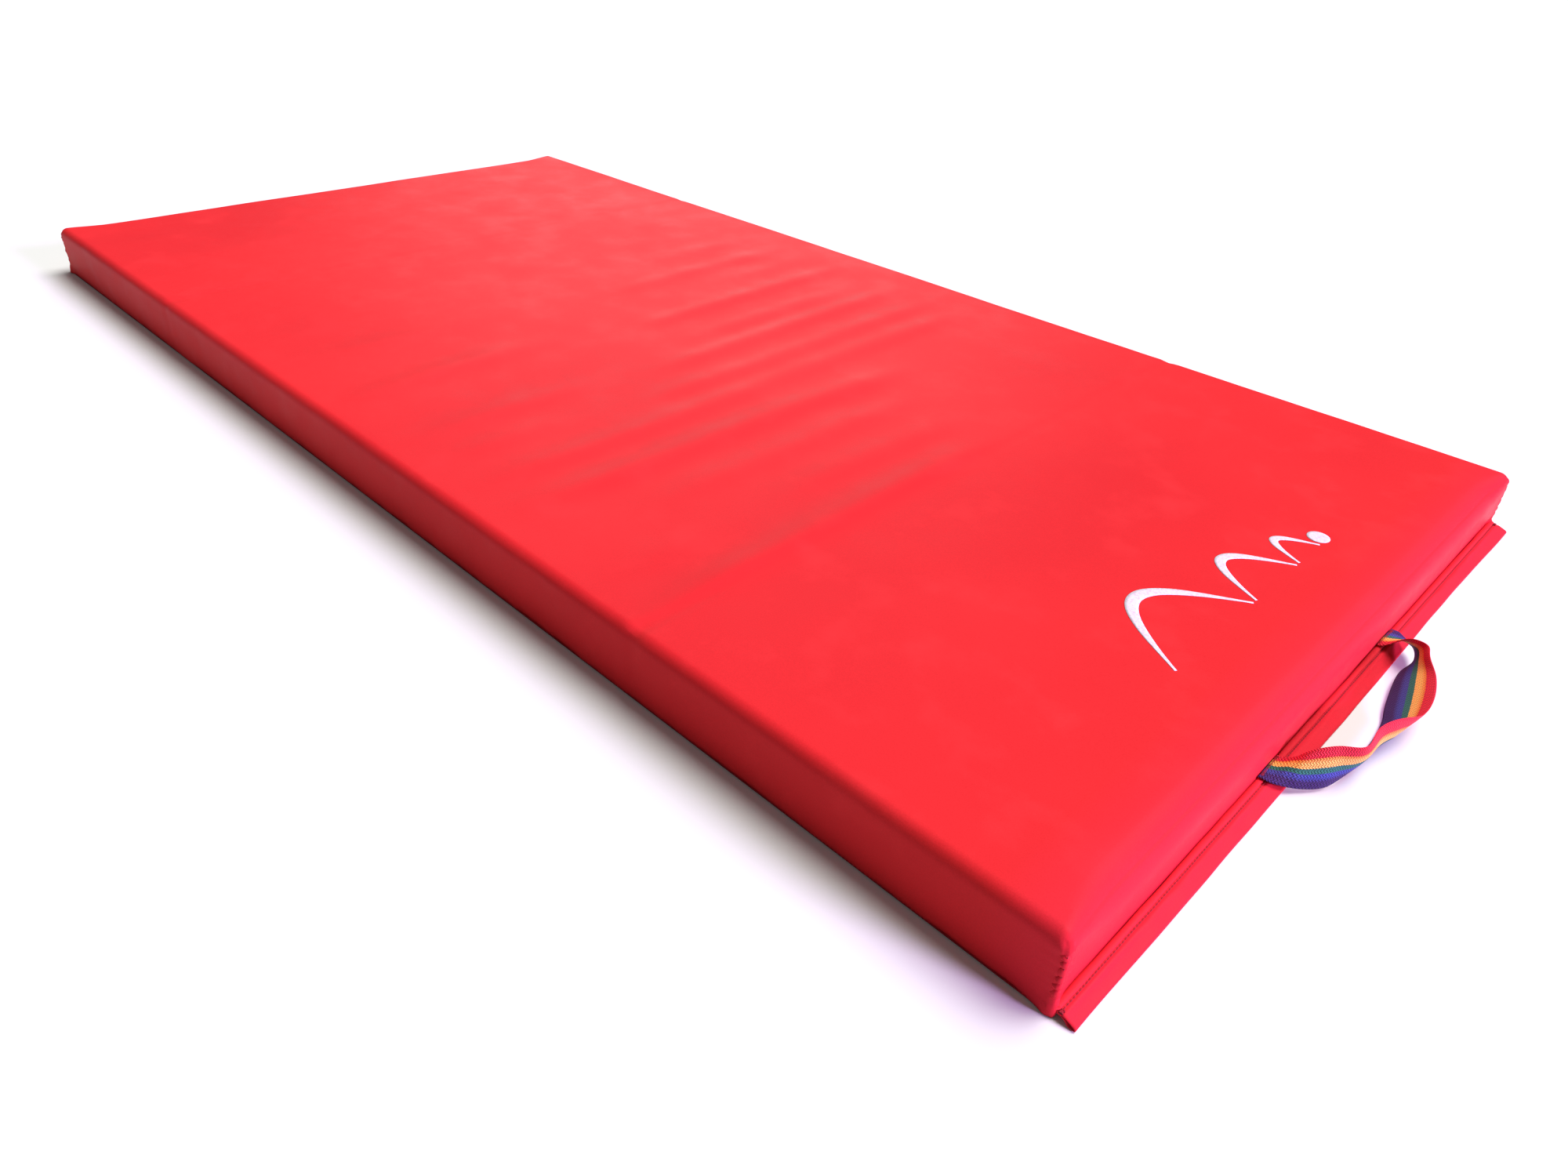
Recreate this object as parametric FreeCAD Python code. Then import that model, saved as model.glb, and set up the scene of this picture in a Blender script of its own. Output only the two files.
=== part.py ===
import FreeCAD, Part
import math
import os

from FreeCAD import Vector

# Crash landing mat: a foam slab in a sewn sheet cover, with a zip along the bottom of one end,
# a doubled flap that covers the zip, and a webbing carrying handle sewn in above the flap.
# Millimetres. Origin: centre of the underside. +X towards the handle end, +Z up.

# ---- the mat ----
MAT_LENGTH = 1829.0
MAT_WIDTH = 914.0
MAT_HEIGHT = 70.0
SHEET = 0.8                     # coated cover sheet
LONG_EDGE_RADIUS = 10.0         # top edges along the two long sides
END_EDGE_RADIUS = 16.0          # top edges across the two ends
CORNER_RADIUS = 9.0             # upright corners
FIRM_FOAM = 22.0                # firm top layer of the core
HALF_LENGTH = MAT_LENGTH / 2
HALF_WIDTH = MAT_WIDTH / 2
CORNER_RIDGE_RADIUS = 0.9       # the sewn ridge down each upright corner
CORNER_RIDGE_PROUD = 0.25       # how far its middle stands outside the rounded corner

# ---- how the handle end runs in to the zip ----
LIP_RECESS = 2.5                # the end face's lower edge stands this far in
LIP_BOTTOM = 9.8
LIP_TOP = 14.0
SLOPE_TOP = 22.0
FOAM_RECESS = 6.6               # the foam stops this far in, behind the zip
FOAM_RECESS_TOP = 14.5

# ---- zip ----
ZIP_END_GAP = 12.0              # from the mat's long sides to the ends of the zip
TAPE = 0.6
TAPE_X = -3.6                   # the tapes' middle plane, from the mat's end
UPPER_TAPE_TOP = 13.8
CHAIN_Z = 3.7                   # the middle of the closed chain
COIL_DEPTH = 1.7
COIL_HEIGHT = 1.2
COIL_GAP = 0.7
STOP_LENGTH = 3.0
STOP_LAP = 0.2                  # the stops' thickness over the coils
SLIDER_LENGTH = 8.5
SLIDER_HEIGHT = 5.1
SLIDER_PLATE = 0.8
SLIDER_ROUNDING = 1.6
SLIDER_ROOM = 0.3               # between the chain and the slider's plates
SLIDER_POST = 0.25
SLIDER_POST_END = 1.0           # the post stops this far inside the plates
SLIDER_WELD = 0.1               # how far its small parts run in to the plates
EAR = 0.6                       # thickness of the two ears that hold the pull's pin
EAR_GAP = 0.15                  # between the pull and the ears
EAR_HALF_WIDTH = 0.7
SLIDER_FROM_END = 30.0          # parked this far in from the mat's far long side
PULL_PIN_X = -0.55
PULL_PIN_RADIUS = 0.45
PULL_FIT = 0.06
PULL_HUB_RADIUS = 1.0
PULL_HEIGHT = 2.4
PULL_LENGTH = 20.0
PULL_THICKNESS = 0.8
PULL_OFFSET = 0.4               # the tab's middle plane, outwards from its pin
PULL_ROOT = 0.6                 # where the tab starts beside its pin

# ---- welt and flap ----
WELT_BACK = -1.9
WELT_FRONT = 3.4
WELT_BOTTOM = 6.6
WELT_TOP = 9.6
FLAP_PLY = 0.7
FLAP_EDGE = 17.6                # how far out the folded edge lies
FLAP_ROOT = 0.6
FLAP_END_GAP = 1.0              # the flap stops this far short of the mat's corners
THREAD = 0.7
STITCH_LINE_X = 4.3
STITCH_END_GAP = 4.0            # the topstitching stops this far short of the flap's ends
BACK_TACK_END_GAP = 1.0
BACK_TACK_WIDTH = 2.2
BACK_TACK_HEIGHT = 1.2
# The flap's section, by hand, as (out from the mat's end, up): its upper side, its underside
# and the hollow between its two plies.
FLAP_UPPER = [(FLAP_ROOT, WELT_BOTTOM), (5.0, WELT_BOTTOM), (9.0, 5.2), (13.0, 3.7),
              (FLAP_EDGE - 0.6, 2.5), (FLAP_EDGE, 1.6), (FLAP_EDGE - 0.1, 0.6), (FLAP_EDGE - 1.0, 0.0)]
FLAP_LOWER = [(13.0, 0.0), (8.5, 2.9), (5.0, WELT_BOTTOM - 2 * FLAP_PLY),
              (FLAP_ROOT, WELT_BOTTOM - 2 * FLAP_PLY)]
FLAP_HOLLOW = [(5.6, 5.6), (9.0, 5.2 - FLAP_PLY), (13.0, 3.7 - FLAP_PLY), (FLAP_EDGE - 1.2, 1.85),
               (FLAP_EDGE - 0.75, 1.3), (FLAP_EDGE - 1.3, FLAP_PLY), (13.3, FLAP_PLY), (8.8, 3.5)]

# ---- handle ----
WEBBING_WIDTH = 38.0
WEBBING = 1.4
HANDLE_AXIS = (-1.2, 10.9)      # out from the mat's end, and up
# Stations along the webbing, by hand: the middle of the lower edge, then of the upper edge,
# each as (out from the mat's end, along the end, up). The two edges keep the webbing's width.
WEBBING_ROUTE = [
    ((-1.2, -160, 10.9), (-1.2, -122, 10.9)),
    ((1.5, -160, 11.3), (1.5, -122, 11.4)),
    ((5.5, -161, 11.3), (5, -123, 14)),
    ((12, -159, 8.6), (8, -125, 24)),
    ((21, -149, 4), (14, -138, 39)),
    ((30, -136, 2), (21, -138, 39)),
    ((38, -125, 2), (28, -129, 39)),
    ((41, -110, 1.5), (37, -113, 39)),
    ((43, -88, 1.5), (50, -92, 38)),
    ((43, -50, 1.5), (60, -54, 35)),
    ((41, -8, 1.5), (65, -11, 31)),
    ((37, 24, 1.5), (65, 24, 27)),
    ((32, 56, 1.5), (60, 54, 27)),
    ((29, 92, 1.5), (51, 79, 29)),
    ((27, 113, 3), (43, 91, 30)),
    ((22, 127, 7), (34, 97, 28)),
    ((12, 134, 10), (19, 99, 22)),
    ((5.5, 137, 11.4), (6, 99, 14)),
    ((1.5, 137, 11.3), (1.5, 99, 11.4)),
    ((-1.2, 137, 10.9), (-1.2, 99, 10.9)),
]
WEBBING_STEPS = 4               # pieces between two stations
BAR_TACK_OUT = 1.6              # from the handle's axis
BAR_TACK_RADIUS = 0.4
BAR_TACK_INSET = 3.0            # from the webbing's edges

# ---- printed mark ----
INK = 0.15
MARK_CENTRE = (-121.0, -18.0)   # in from the mat's end, and across
MARK_SWING = 46.0               # half the depth of the mark, along the mat
MARK_HOPS = [150.0, 94.0, 54.0]  # widths of the three bounces
MARK_BROAD = 11.0               # stroke at its broadest
MARK_TIP = 1.2                  # half the stroke's breadth at its tips
MARK_GAP = 3.0                  # left at both ends of each bounce
MARK_RISE = 1.7                 # how high the widest bounce goes, in MARK_SWINGs
MARK_STEPS = 18
MARK_FOOT = 0.75                # where the bounces stand, in MARK_SWINGs from the centre
MARK_DOT = 11.0
MARK_DOT_FOOT = 0.6


def box(x0, y0, z0, x1, y1, z1):
    """A box between two corners."""
    return Part.makeBox(x1 - x0, y1 - y0, z1 - z0, Vector(x0, y0, z0))


def prism_along_y(points, y0, y1):
    """A closed outline in X and Z, carried from y0 to y1."""
    corners = [Vector(x, y0, z) for x, z in points]
    wire = Part.makePolygon(corners + [corners[0]])
    return Part.Face(wire).extrude(Vector(0, y1 - y0, 0))


def rod(start, end, radius):
    """A round bar between two points."""
    way = Vector(*end) - Vector(*start)
    return Part.makeCylinder(radius, way.Length, Vector(*start), way)


def triangles_solid(rings):
    """A closed solid from rings of corners: each ring is joined to the next by triangles."""
    faces = []
    count = len(rings[0])

    def triangle(a, b, c):
        faces.append(Part.Face(Part.makePolygon([a, b, c, a])))

    for low, high in zip(rings[:-1], rings[1:]):
        for i in range(count):
            j = (i + 1) % count
            triangle(low[i], low[j], high[j])
            triangle(low[i], high[j], high[i])
    for ring in (rings[0], rings[-1]):
        for i in range(1, count - 1):
            triangle(ring[0], ring[i], ring[i + 1])
    solid = Part.Solid(Part.Shell(faces))
    if solid.Volume < 0:
        solid.reverse()
    return solid


def end_run_in(inset, top):
    """The space in front of the handle end's slope and lip, inset from the outer face."""
    x = HALF_LENGTH - inset
    return [
        (x, top),
        (x - LIP_RECESS, LIP_TOP),
        (x - LIP_RECESS, -1.0),
        (x + 40, -1.0),
        (x + 40, top),
    ]


def rounded_block(inset, bottom):
    """The mat's outer form, or one inset from it: rounded corners and top edges."""
    half_x = HALF_LENGTH - inset
    half_y = HALF_WIDTH - inset
    top = MAT_HEIGHT - inset
    block = box(-half_x, -half_y, bottom, half_x, half_y, top)
    upright = [e for e in block.Edges if abs(e.Vertexes[0].Z - e.Vertexes[1].Z) > 1]
    block = block.makeFillet(CORNER_RADIUS - inset, upright)
    across = end_profile_cutter(half_x, half_y, top, END_EDGE_RADIUS - inset)
    along = side_profile_cutter(half_x, half_y, top, LONG_EDGE_RADIUS - inset)
    block = block.cut(across).cut(along)
    return block.cut(prism_along_y(end_run_in(inset, SLOPE_TOP), -half_y - 5, half_y + 5))


def end_profile_cutter(half_x, half_y, top, radius):
    """Rounds the top edges across the two ends."""
    length = 2 * half_y + 10
    slivers = []
    for side in (1, -1):
        square = box(half_x - radius, -length / 2, top - radius, half_x + 1, length / 2, top + 1)
        start = Vector(half_x - radius, -length / 2, top - radius)
        sliver = square.cut(Part.makeCylinder(radius, length, start, Vector(0, 1, 0)))
        if side < 0:
            sliver = sliver.mirror(Vector(0, 0, 0), Vector(1, 0, 0))
        slivers.append(sliver)
    return slivers[0].fuse(slivers[1])


def side_profile_cutter(half_x, half_y, top, radius):
    """Rounds the top edges along the two long sides."""
    length = 2 * half_x + 10
    slivers = []
    for side in (1, -1):
        square = box(-length / 2, half_y - radius, top - radius, length / 2, half_y + 1, top + 1)
        start = Vector(-length / 2, half_y - radius, top - radius)
        sliver = square.cut(Part.makeCylinder(radius, length, start, Vector(1, 0, 0)))
        if side < 0:
            sliver = sliver.mirror(Vector(0, 0, 0), Vector(0, 1, 0))
        slivers.append(sliver)
    return slivers[0].fuse(slivers[1])


def foam_block():
    """The whole core: it fills the cover, and stops short behind the zip."""
    core = rounded_block(SHEET, SHEET)
    x = HALF_LENGTH - FOAM_RECESS
    return core.cut(box(x, -HALF_WIDTH, 0, x + 50, HALF_WIDTH, FOAM_RECESS_TOP))


def foam_layer(low, high):
    """One layer of the core."""
    slab = box(-HALF_LENGTH, -HALF_WIDTH, low, HALF_LENGTH, HALF_WIDTH, high)
    return foam_block().common(slab)


def cover_top_panel():
    """The top sheet with its four skirts, one piece of sheet, open underneath."""
    skin = rounded_block(0, SHEET).cut(rounded_block(SHEET, 0))
    mouth = box(HALF_LENGTH - 2 * LIP_RECESS, -HALF_WIDTH + SHEET, 0,
                HALF_LENGTH + 1, HALF_WIDTH - SHEET, LIP_BOTTOM)
    return skin.cut(mouth)


def cover_base_panel():
    """The underside sheet: it lies on the floor and meets the skirts all round."""
    panel = box(-HALF_LENGTH, -HALF_WIDTH, 0, HALF_LENGTH - LIP_RECESS, HALF_WIDTH, SHEET)
    upright = [e for e in panel.Edges if abs(e.Vertexes[0].Z - e.Vertexes[1].Z) > 0.1]
    return panel.makeFillet(CORNER_RADIUS, [e for e in upright if e.Vertexes[0].X < 0])


def corner_seam(x_side, y_side):
    """One upright corner's sewn ridge, where two skirts are closed from the base to the top."""
    low = SHEET if x_side < 0 else SLOPE_TOP
    high = MAT_HEIGHT - END_EDGE_RADIUS
    reach = CORNER_RADIUS * math.sqrt(0.5)
    x = x_side * (HALF_LENGTH - CORNER_RADIUS + reach + CORNER_RIDGE_PROUD)
    y = y_side * (HALF_WIDTH - CORNER_RADIUS + reach + CORNER_RIDGE_PROUD)
    ridge = rod((x, y, low), (x, y, high), CORNER_RIDGE_RADIUS)
    return ridge.cut(rounded_block(0, 0))


def base_seam_thread():
    """The seam thread along the three closed lower edges, in the angle under the skirts."""
    y = HALF_WIDTH + THREAD / 2
    x = HALF_LENGTH + THREAD / 2
    z = SHEET + THREAD
    runs = [
        rod((-x + 2 * CORNER_RADIUS, -y, z), (x - 2 * CORNER_RADIUS, -y, z), THREAD / 2),
        rod((-x + 2 * CORNER_RADIUS, y, z), (x - 2 * CORNER_RADIUS, y, z), THREAD / 2),
        rod((-x, -y + 2 * CORNER_RADIUS, z), (-x, y - 2 * CORNER_RADIUS, z), THREAD / 2),
    ]
    return Part.Compound(runs)


def zip_half_length():
    """Half the length of the zip's chain."""
    return HALF_WIDTH - ZIP_END_GAP


def zip_tape(upper):
    """One zip tape: the upper one hangs from the end face's lip, the lower from the base."""
    x = HALF_LENGTH + TAPE_X
    half = zip_half_length()
    coil_edge = COIL_GAP / 2 + COIL_HEIGHT
    if upper:
        return box(x - TAPE / 2, -half, CHAIN_Z + coil_edge, x + TAPE / 2, half, UPPER_TAPE_TOP)
    return box(x - TAPE / 2, -half, SHEET, x + TAPE / 2, half, CHAIN_Z - coil_edge)


def zip_coil(upper):
    """One side of the closed chain, a round-edged bar of coil along its tape's edge."""
    x = HALF_LENGTH + TAPE_X
    half = zip_half_length() - STOP_LENGTH
    low = CHAIN_Z + COIL_GAP / 2 if upper else CHAIN_Z - COIL_GAP / 2 - COIL_HEIGHT
    return box(x - COIL_DEPTH / 2, -half, low, x + COIL_DEPTH / 2, half, low + COIL_HEIGHT)


def zip_stop(side):
    """A clamped metal stop at one end of the chain, astride both coils' ends."""
    x = HALF_LENGTH + TAPE_X
    start = side * (zip_half_length() - STOP_LENGTH)
    end = side * zip_half_length()
    edge = COIL_GAP / 2 + COIL_HEIGHT
    reach = COIL_DEPTH / 2 + STOP_LAP
    return box(x - reach, min(start, end), CHAIN_Z - edge,
               x + reach, max(start, end), CHAIN_Z + edge)


def slider_middle():
    """Where the parked slider's middle is, along the zip."""
    return HALF_WIDTH - SLIDER_FROM_END


def zip_slider():
    """The slider: two plates astride the chain, a thin post between the coils, and a bail."""
    x = HALF_LENGTH + TAPE_X
    y = slider_middle()
    half = SLIDER_LENGTH / 2
    low = CHAIN_Z - SLIDER_HEIGHT / 2
    high = CHAIN_Z + SLIDER_HEIGHT / 2
    inner = COIL_DEPTH / 2 + SLIDER_ROOM
    back = box(x - inner - SLIDER_PLATE, y - half, low, x - inner, y + half, high)
    front = box(x + inner, y - half, low, x + inner + SLIDER_PLATE, y + half, high)
    half_plate = SLIDER_PLATE / 2
    back = back.makeFillet(SLIDER_ROUNDING, [e for e in back.Edges if e.BoundBox.XLength > half_plate])
    front = front.makeFillet(SLIDER_ROUNDING, [e for e in front.Edges if e.BoundBox.XLength > half_plate])
    reach = inner + SLIDER_WELD
    post = box(x - reach, y + SLIDER_POST_END, CHAIN_Z - SLIDER_POST / 2,
               x + reach, y + half - SLIDER_POST_END, CHAIN_Z + SLIDER_POST / 2)
    pin_x = HALF_LENGTH + PULL_PIN_X
    pin_low = CHAIN_Z - PULL_HEIGHT / 2 - EAR_GAP - EAR
    pin_high = CHAIN_Z + PULL_HEIGHT / 2 + EAR_GAP + EAR
    body = back.fuse(front).fuse(post)
    for z in (pin_low, pin_high - EAR):
        ear = box(x + reach, y - EAR_HALF_WIDTH, z, pin_x, y + EAR_HALF_WIDTH, z + EAR)
        knuckle = Part.makeCylinder(EAR_HALF_WIDTH, EAR, Vector(pin_x, y, z))
        body = body.fuse(ear).fuse(knuckle)
    pin = Part.makeCylinder(PULL_PIN_RADIUS, pin_high - pin_low, Vector(pin_x, y, pin_low))
    return body.fuse(pin).removeSplitter()


def zip_pull():
    """The pull tab: an eye round the slider's bail pin, and a flat tab along the zip."""
    x = HALF_LENGTH + PULL_PIN_X
    y = slider_middle()
    low = CHAIN_Z - PULL_HEIGHT / 2
    hub = Part.makeCylinder(PULL_HUB_RADIUS, PULL_HEIGHT, Vector(x, y, low))
    tab = box(x - PULL_THICKNESS / 2 + PULL_OFFSET, y - PULL_LENGTH, low,
              x + PULL_THICKNESS / 2 + PULL_OFFSET, y - PULL_ROOT, low + PULL_HEIGHT)
    bore = Part.makeCylinder(PULL_PIN_RADIUS + PULL_FIT, PULL_HEIGHT + 2, Vector(x, y, low - 1))
    return hub.fuse(tab).cut(bore).removeSplitter()


def flap_half_width():
    """Half the flap's width along the mat's end."""
    return HALF_WIDTH - FLAP_END_GAP


def end_welt():
    """The turned and topstitched fold over the seam, a flattened roll along the whole end."""
    middle = (WELT_BOTTOM + WELT_TOP) / 2
    radius = (WELT_TOP - WELT_BOTTOM) / 2
    half = flap_half_width()
    x0 = HALF_LENGTH + WELT_BACK
    x1 = HALF_LENGTH + WELT_FRONT
    bar = box(x0 + radius, -half, WELT_BOTTOM, x1 - radius, half, WELT_TOP)
    for x in (x0 + radius, x1 - radius):
        bar = bar.fuse(Part.makeCylinder(radius, 2 * half, Vector(x, -half, middle), Vector(0, 1, 0)))
    return bar.removeSplitter()


def closure_flap():
    """The doubled flap: one strip of sheet folded at its outer edge, both plies sewn at the root."""
    half = flap_half_width()
    outline = [(HALF_LENGTH + out, up) for out, up in FLAP_UPPER + FLAP_LOWER]
    hollow = [(HALF_LENGTH + out, up) for out, up in FLAP_HOLLOW]
    return prism_along_y(outline, -half, half).cut(prism_along_y(hollow, -half - 1, half + 1))


def flap_topstitch():
    """The row of thread in the groove between the welt and the flap."""
    half = flap_half_width() - STITCH_END_GAP
    x = HALF_LENGTH + STITCH_LINE_X
    z = WELT_BOTTOM + THREAD / 2
    return rod((x, -half, z), (x, half, z), THREAD / 2)


def back_tack(side):
    """The bunched over-sewn end of the topstitching, at one end of the flap."""
    x = HALF_LENGTH + STITCH_LINE_X - THREAD
    start = side * (flap_half_width() - STITCH_END_GAP)
    end = side * (flap_half_width() - BACK_TACK_END_GAP)
    return box(x, min(start, end), WELT_BOTTOM,
               x + BACK_TACK_WIDTH, max(start, end), WELT_BOTTOM + BACK_TACK_HEIGHT)


def spline_points(points):
    """Points along a smooth curve through the given ones, a fixed number to each gap."""
    curve = Part.BSplineCurve()
    parameters = [float(i) for i in range(len(points))]
    curve.interpolate(Points=[Vector(*p) for p in points], Parameters=parameters)
    count = (len(points) - 1) * WEBBING_STEPS
    return [curve.value(i / WEBBING_STEPS) for i in range(count + 1)]


def handle_webbing():
    """One length of flat webbing, carried along the route with a constant width."""
    lower = spline_points([a for a, b in WEBBING_ROUTE])
    upper = spline_points([b for a, b in WEBBING_ROUTE])
    middle = [(a + b) * 0.5 for a, b in zip(lower, upper)]
    shift = Vector(HALF_LENGTH, 0, 0)
    rings = []
    for i, centre in enumerate(middle):
        across = upper[i] - lower[i]
        across.normalize()
        forward = middle[min(i + 1, len(middle) - 1)] - middle[max(i - 1, 0)]
        normal = across.cross(forward)
        normal.normalize()
        half_width = across * (WEBBING_WIDTH / 2)
        half_thick = normal * (WEBBING / 2)
        rings.append([
            centre + shift - half_width - half_thick,
            centre + shift + half_width - half_thick,
            centre + shift + half_width + half_thick,
            centre + shift - half_width + half_thick,
        ])
    return triangles_solid(rings)


def handle_bar_tack(side):
    """The over-sewn bar across one end of the webbing, on top of it beside the seam."""
    first = WEBBING_ROUTE[0] if side < 0 else WEBBING_ROUTE[-1]
    y_low = min(first[0][1], first[1][1])
    y_high = max(first[0][1], first[1][1])
    x = HALF_LENGTH + HANDLE_AXIS[0] + BAR_TACK_OUT
    z = HANDLE_AXIS[1] + WEBBING / 2
    return rod((x, y_low + BAR_TACK_INSET, z), (x, y_high - BAR_TACK_INSET, z), BAR_TACK_RADIUS)


def mark_stroke(y0, width):
    """One bounce of the mark: a half-wave stroke that swells in the middle."""
    base = HALF_LENGTH + MARK_CENTRE[0] + MARK_SWING * MARK_FOOT
    height = MARK_SWING * MARK_RISE * (width / MARK_HOPS[0]) ** 0.7
    swell = MARK_BROAD / 2 * (width / MARK_HOPS[0]) ** 0.5
    outer = []
    inner = []
    for i in range(MARK_STEPS + 1):
        share = i / MARK_STEPS
        x = base - height * math.sin(math.pi * share)
        y = y0 + width * share
        stroke = MARK_TIP + swell * math.sin(math.pi * share) ** 1.5
        slope_x = -height * math.pi * math.cos(math.pi * share)
        length = math.hypot(slope_x, width)
        outer.append(Vector(x - width / length * stroke, y + slope_x / length * stroke, MAT_HEIGHT))
        inner.append(Vector(x + width / length * stroke, y - slope_x / length * stroke, MAT_HEIGHT))
    corners = outer + inner[::-1]
    face = Part.Face(Part.makePolygon(corners + [corners[0]]))
    return face.extrude(Vector(0, 0, INK))


def printed_mark():
    """A bouncing-path mark printed on the top sheet: three strokes and a dot."""
    y = MARK_CENTRE[1] - sum(MARK_HOPS) / 2
    pieces = []
    for width in MARK_HOPS:
        pieces.append(mark_stroke(y + MARK_GAP, width - 2 * MARK_GAP))
        y += width
    x = HALF_LENGTH + MARK_CENTRE[0] + MARK_SWING * MARK_DOT_FOOT
    pieces.append(Part.makeCylinder(MARK_DOT, INK, Vector(x, y + MARK_DOT, MAT_HEIGHT)))
    return Part.Compound(pieces)


def all_nodes():
    """Every node's name and shape."""
    firm_bottom = MAT_HEIGHT - SHEET - FIRM_FOAM
    nodes = {
        "foam_core_soft_layer": foam_layer(SHEET, firm_bottom),
        "foam_core_firm_layer": foam_layer(firm_bottom, MAT_HEIGHT),
        "cover_top_panel": cover_top_panel(),
        "cover_base_panel": cover_base_panel(),
        "base_seam_thread": base_seam_thread(),
        "zip_tape_upper": zip_tape(True),
        "zip_tape_lower": zip_tape(False),
        "zip_coil_upper": zip_coil(True),
        "zip_coil_lower": zip_coil(False),
        "zip_slider": zip_slider(),
        "zip_pull": zip_pull(),
        "end_welt": end_welt(),
        "closure_flap": closure_flap(),
        "flap_topstitch": flap_topstitch(),
        "handle_webbing": handle_webbing(),
        "printed_mark": printed_mark(),
    }
    for side, place in ((-1, "near"), (1, "far")):
        nodes["zip_stop_" + place] = zip_stop(side)
        nodes["flap_back_tack_" + place] = back_tack(side)
        nodes["handle_bar_tack_" + place] = handle_bar_tack(side)
        for end, name in ((-1, "plain_end"), (1, "handle_end")):
            nodes["corner_seam_" + name + "_" + place] = corner_seam(end, side)
    return nodes


os.makedirs("parts", exist_ok=True)
for name, shape in all_nodes().items():
    shape.exportStep("parts/" + name + ".step")
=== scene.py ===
"""Looks of a crash landing mat: foam slab in a sewn red cover, zip under a flap, webbing handle."""

import math

import bpy
import numpy as np
from mathutils import Matrix, Vector


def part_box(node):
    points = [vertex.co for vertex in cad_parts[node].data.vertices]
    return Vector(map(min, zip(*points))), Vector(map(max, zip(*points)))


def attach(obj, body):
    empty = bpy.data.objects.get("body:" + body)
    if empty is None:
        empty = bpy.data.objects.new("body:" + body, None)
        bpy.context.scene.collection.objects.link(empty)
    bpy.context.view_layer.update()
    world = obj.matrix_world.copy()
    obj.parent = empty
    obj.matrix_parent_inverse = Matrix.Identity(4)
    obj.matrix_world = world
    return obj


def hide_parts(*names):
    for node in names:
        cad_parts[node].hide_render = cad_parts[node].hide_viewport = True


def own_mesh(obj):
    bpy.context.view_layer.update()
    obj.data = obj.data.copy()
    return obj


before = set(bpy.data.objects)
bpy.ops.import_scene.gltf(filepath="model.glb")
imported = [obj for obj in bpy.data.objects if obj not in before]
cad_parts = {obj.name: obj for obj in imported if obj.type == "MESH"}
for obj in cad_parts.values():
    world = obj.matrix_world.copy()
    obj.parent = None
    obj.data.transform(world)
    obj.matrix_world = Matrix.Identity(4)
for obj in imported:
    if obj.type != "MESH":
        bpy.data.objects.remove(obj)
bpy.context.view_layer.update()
MM = 0.001


# ---------------------------------------------------------------------------------------------
# The place it stands in: a pale floor, a broad soft light overhead, a low one from the far plain
# corner that rakes over the ripples, a cooler one low before the handle end, and the camera.

FLOOR_SIZE = 24.0
FLOOR_DROP = 0.0002            # how far the floor lies below the mat
FLOOR_PALE = (0.68, 0.68, 0.68, 1)
CAMERA_AT = (1.0594148, -0.8837198, 0.5917259)
CAMERA_YAW, CAMERA_PITCH, CAMERA_ROLL = 2.3169, -0.5948, 0.0581
CAMERA_LENS = 24.548
SKY_GLOW = 0.16


def far_light(name, towards, spread, power, colour):
    """A soft light far away in that direction, as wide as spread degrees across."""
    light = bpy.data.lights.new(name, "SUN")
    light.angle = math.radians(spread)
    light.energy = power
    light.color = colour
    lamp = bpy.data.objects.new(name, light)
    lamp.location = Vector(towards) * 4
    lamp.rotation_euler = (-Vector(towards)).to_track_quat("-Z", "Y").to_euler()
    bpy.context.scene.collection.objects.link(lamp)


def stand_camera():
    """The camera at its point, turned by yaw, pitch and roll, worked out as three axes."""
    turn, tilt, roll = CAMERA_YAW, CAMERA_PITCH, CAMERA_ROLL
    level = math.cos(tilt)
    ahead = Vector((level * math.cos(turn), level * math.sin(turn), math.sin(tilt)))
    right = ahead.cross(Vector((0, 0, 1))).normalized()
    up = right.cross(ahead)
    side = right * math.cos(roll) + up * math.sin(roll)
    top = up * math.cos(roll) - right * math.sin(roll)
    data = bpy.data.cameras.new("camera")
    data.lens = CAMERA_LENS
    data.sensor_width = 36.0
    data.clip_start = 0.01
    camera = bpy.data.objects.new("camera", data)
    matrix = Matrix((side, top, -ahead)).transposed().to_4x4()
    matrix.translation = CAMERA_AT
    camera.matrix_world = matrix
    bpy.context.scene.collection.objects.link(camera)
    bpy.context.scene.camera = camera


stand_camera()
floor_mesh = bpy.data.meshes.new("floor")
floor_mesh.from_pydata([(x * FLOOR_SIZE / 2, y * FLOOR_SIZE / 2, -FLOOR_DROP)
                        for x, y in ((-1, -1), (1, -1), (1, 1), (-1, 1))], [], [(0, 1, 2, 3)])
floor = bpy.data.objects.new("floor", floor_mesh)
bpy.context.scene.collection.objects.link(floor)
floor_paint = bpy.data.materials.new("pale_floor")
floor_paint.use_nodes = True
floor_shader = floor_paint.node_tree.nodes["Principled BSDF"]
floor_shader.inputs["Base Color"].default_value = FLOOR_PALE
floor_shader.inputs["Roughness"].default_value = 0.9
floor_mesh.materials.append(floor_paint)

far_light("overhead", (0.22, 0.42, 0.88), 38, 4.15, (1.0, 1.0, 0.97))
far_light("window", (-0.66, 0.62, 0.30), 36, 0.65, (1.0, 1.0, 1.0))
far_light("end_cool", (0.92, 0.22, 0.27), 12, 3.8, (1.0, 0.62, 1.45))
world = bpy.data.worlds.new("studio")
bpy.context.scene.world = world
world.use_nodes = True
sky = world.node_tree.nodes["Background"]
sky.inputs["Color"].default_value = (1, 1, 1, 1)
sky.inputs["Strength"].default_value = SKY_GLOW
bpy.context.scene.view_settings.view_transform = "Standard"


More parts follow.
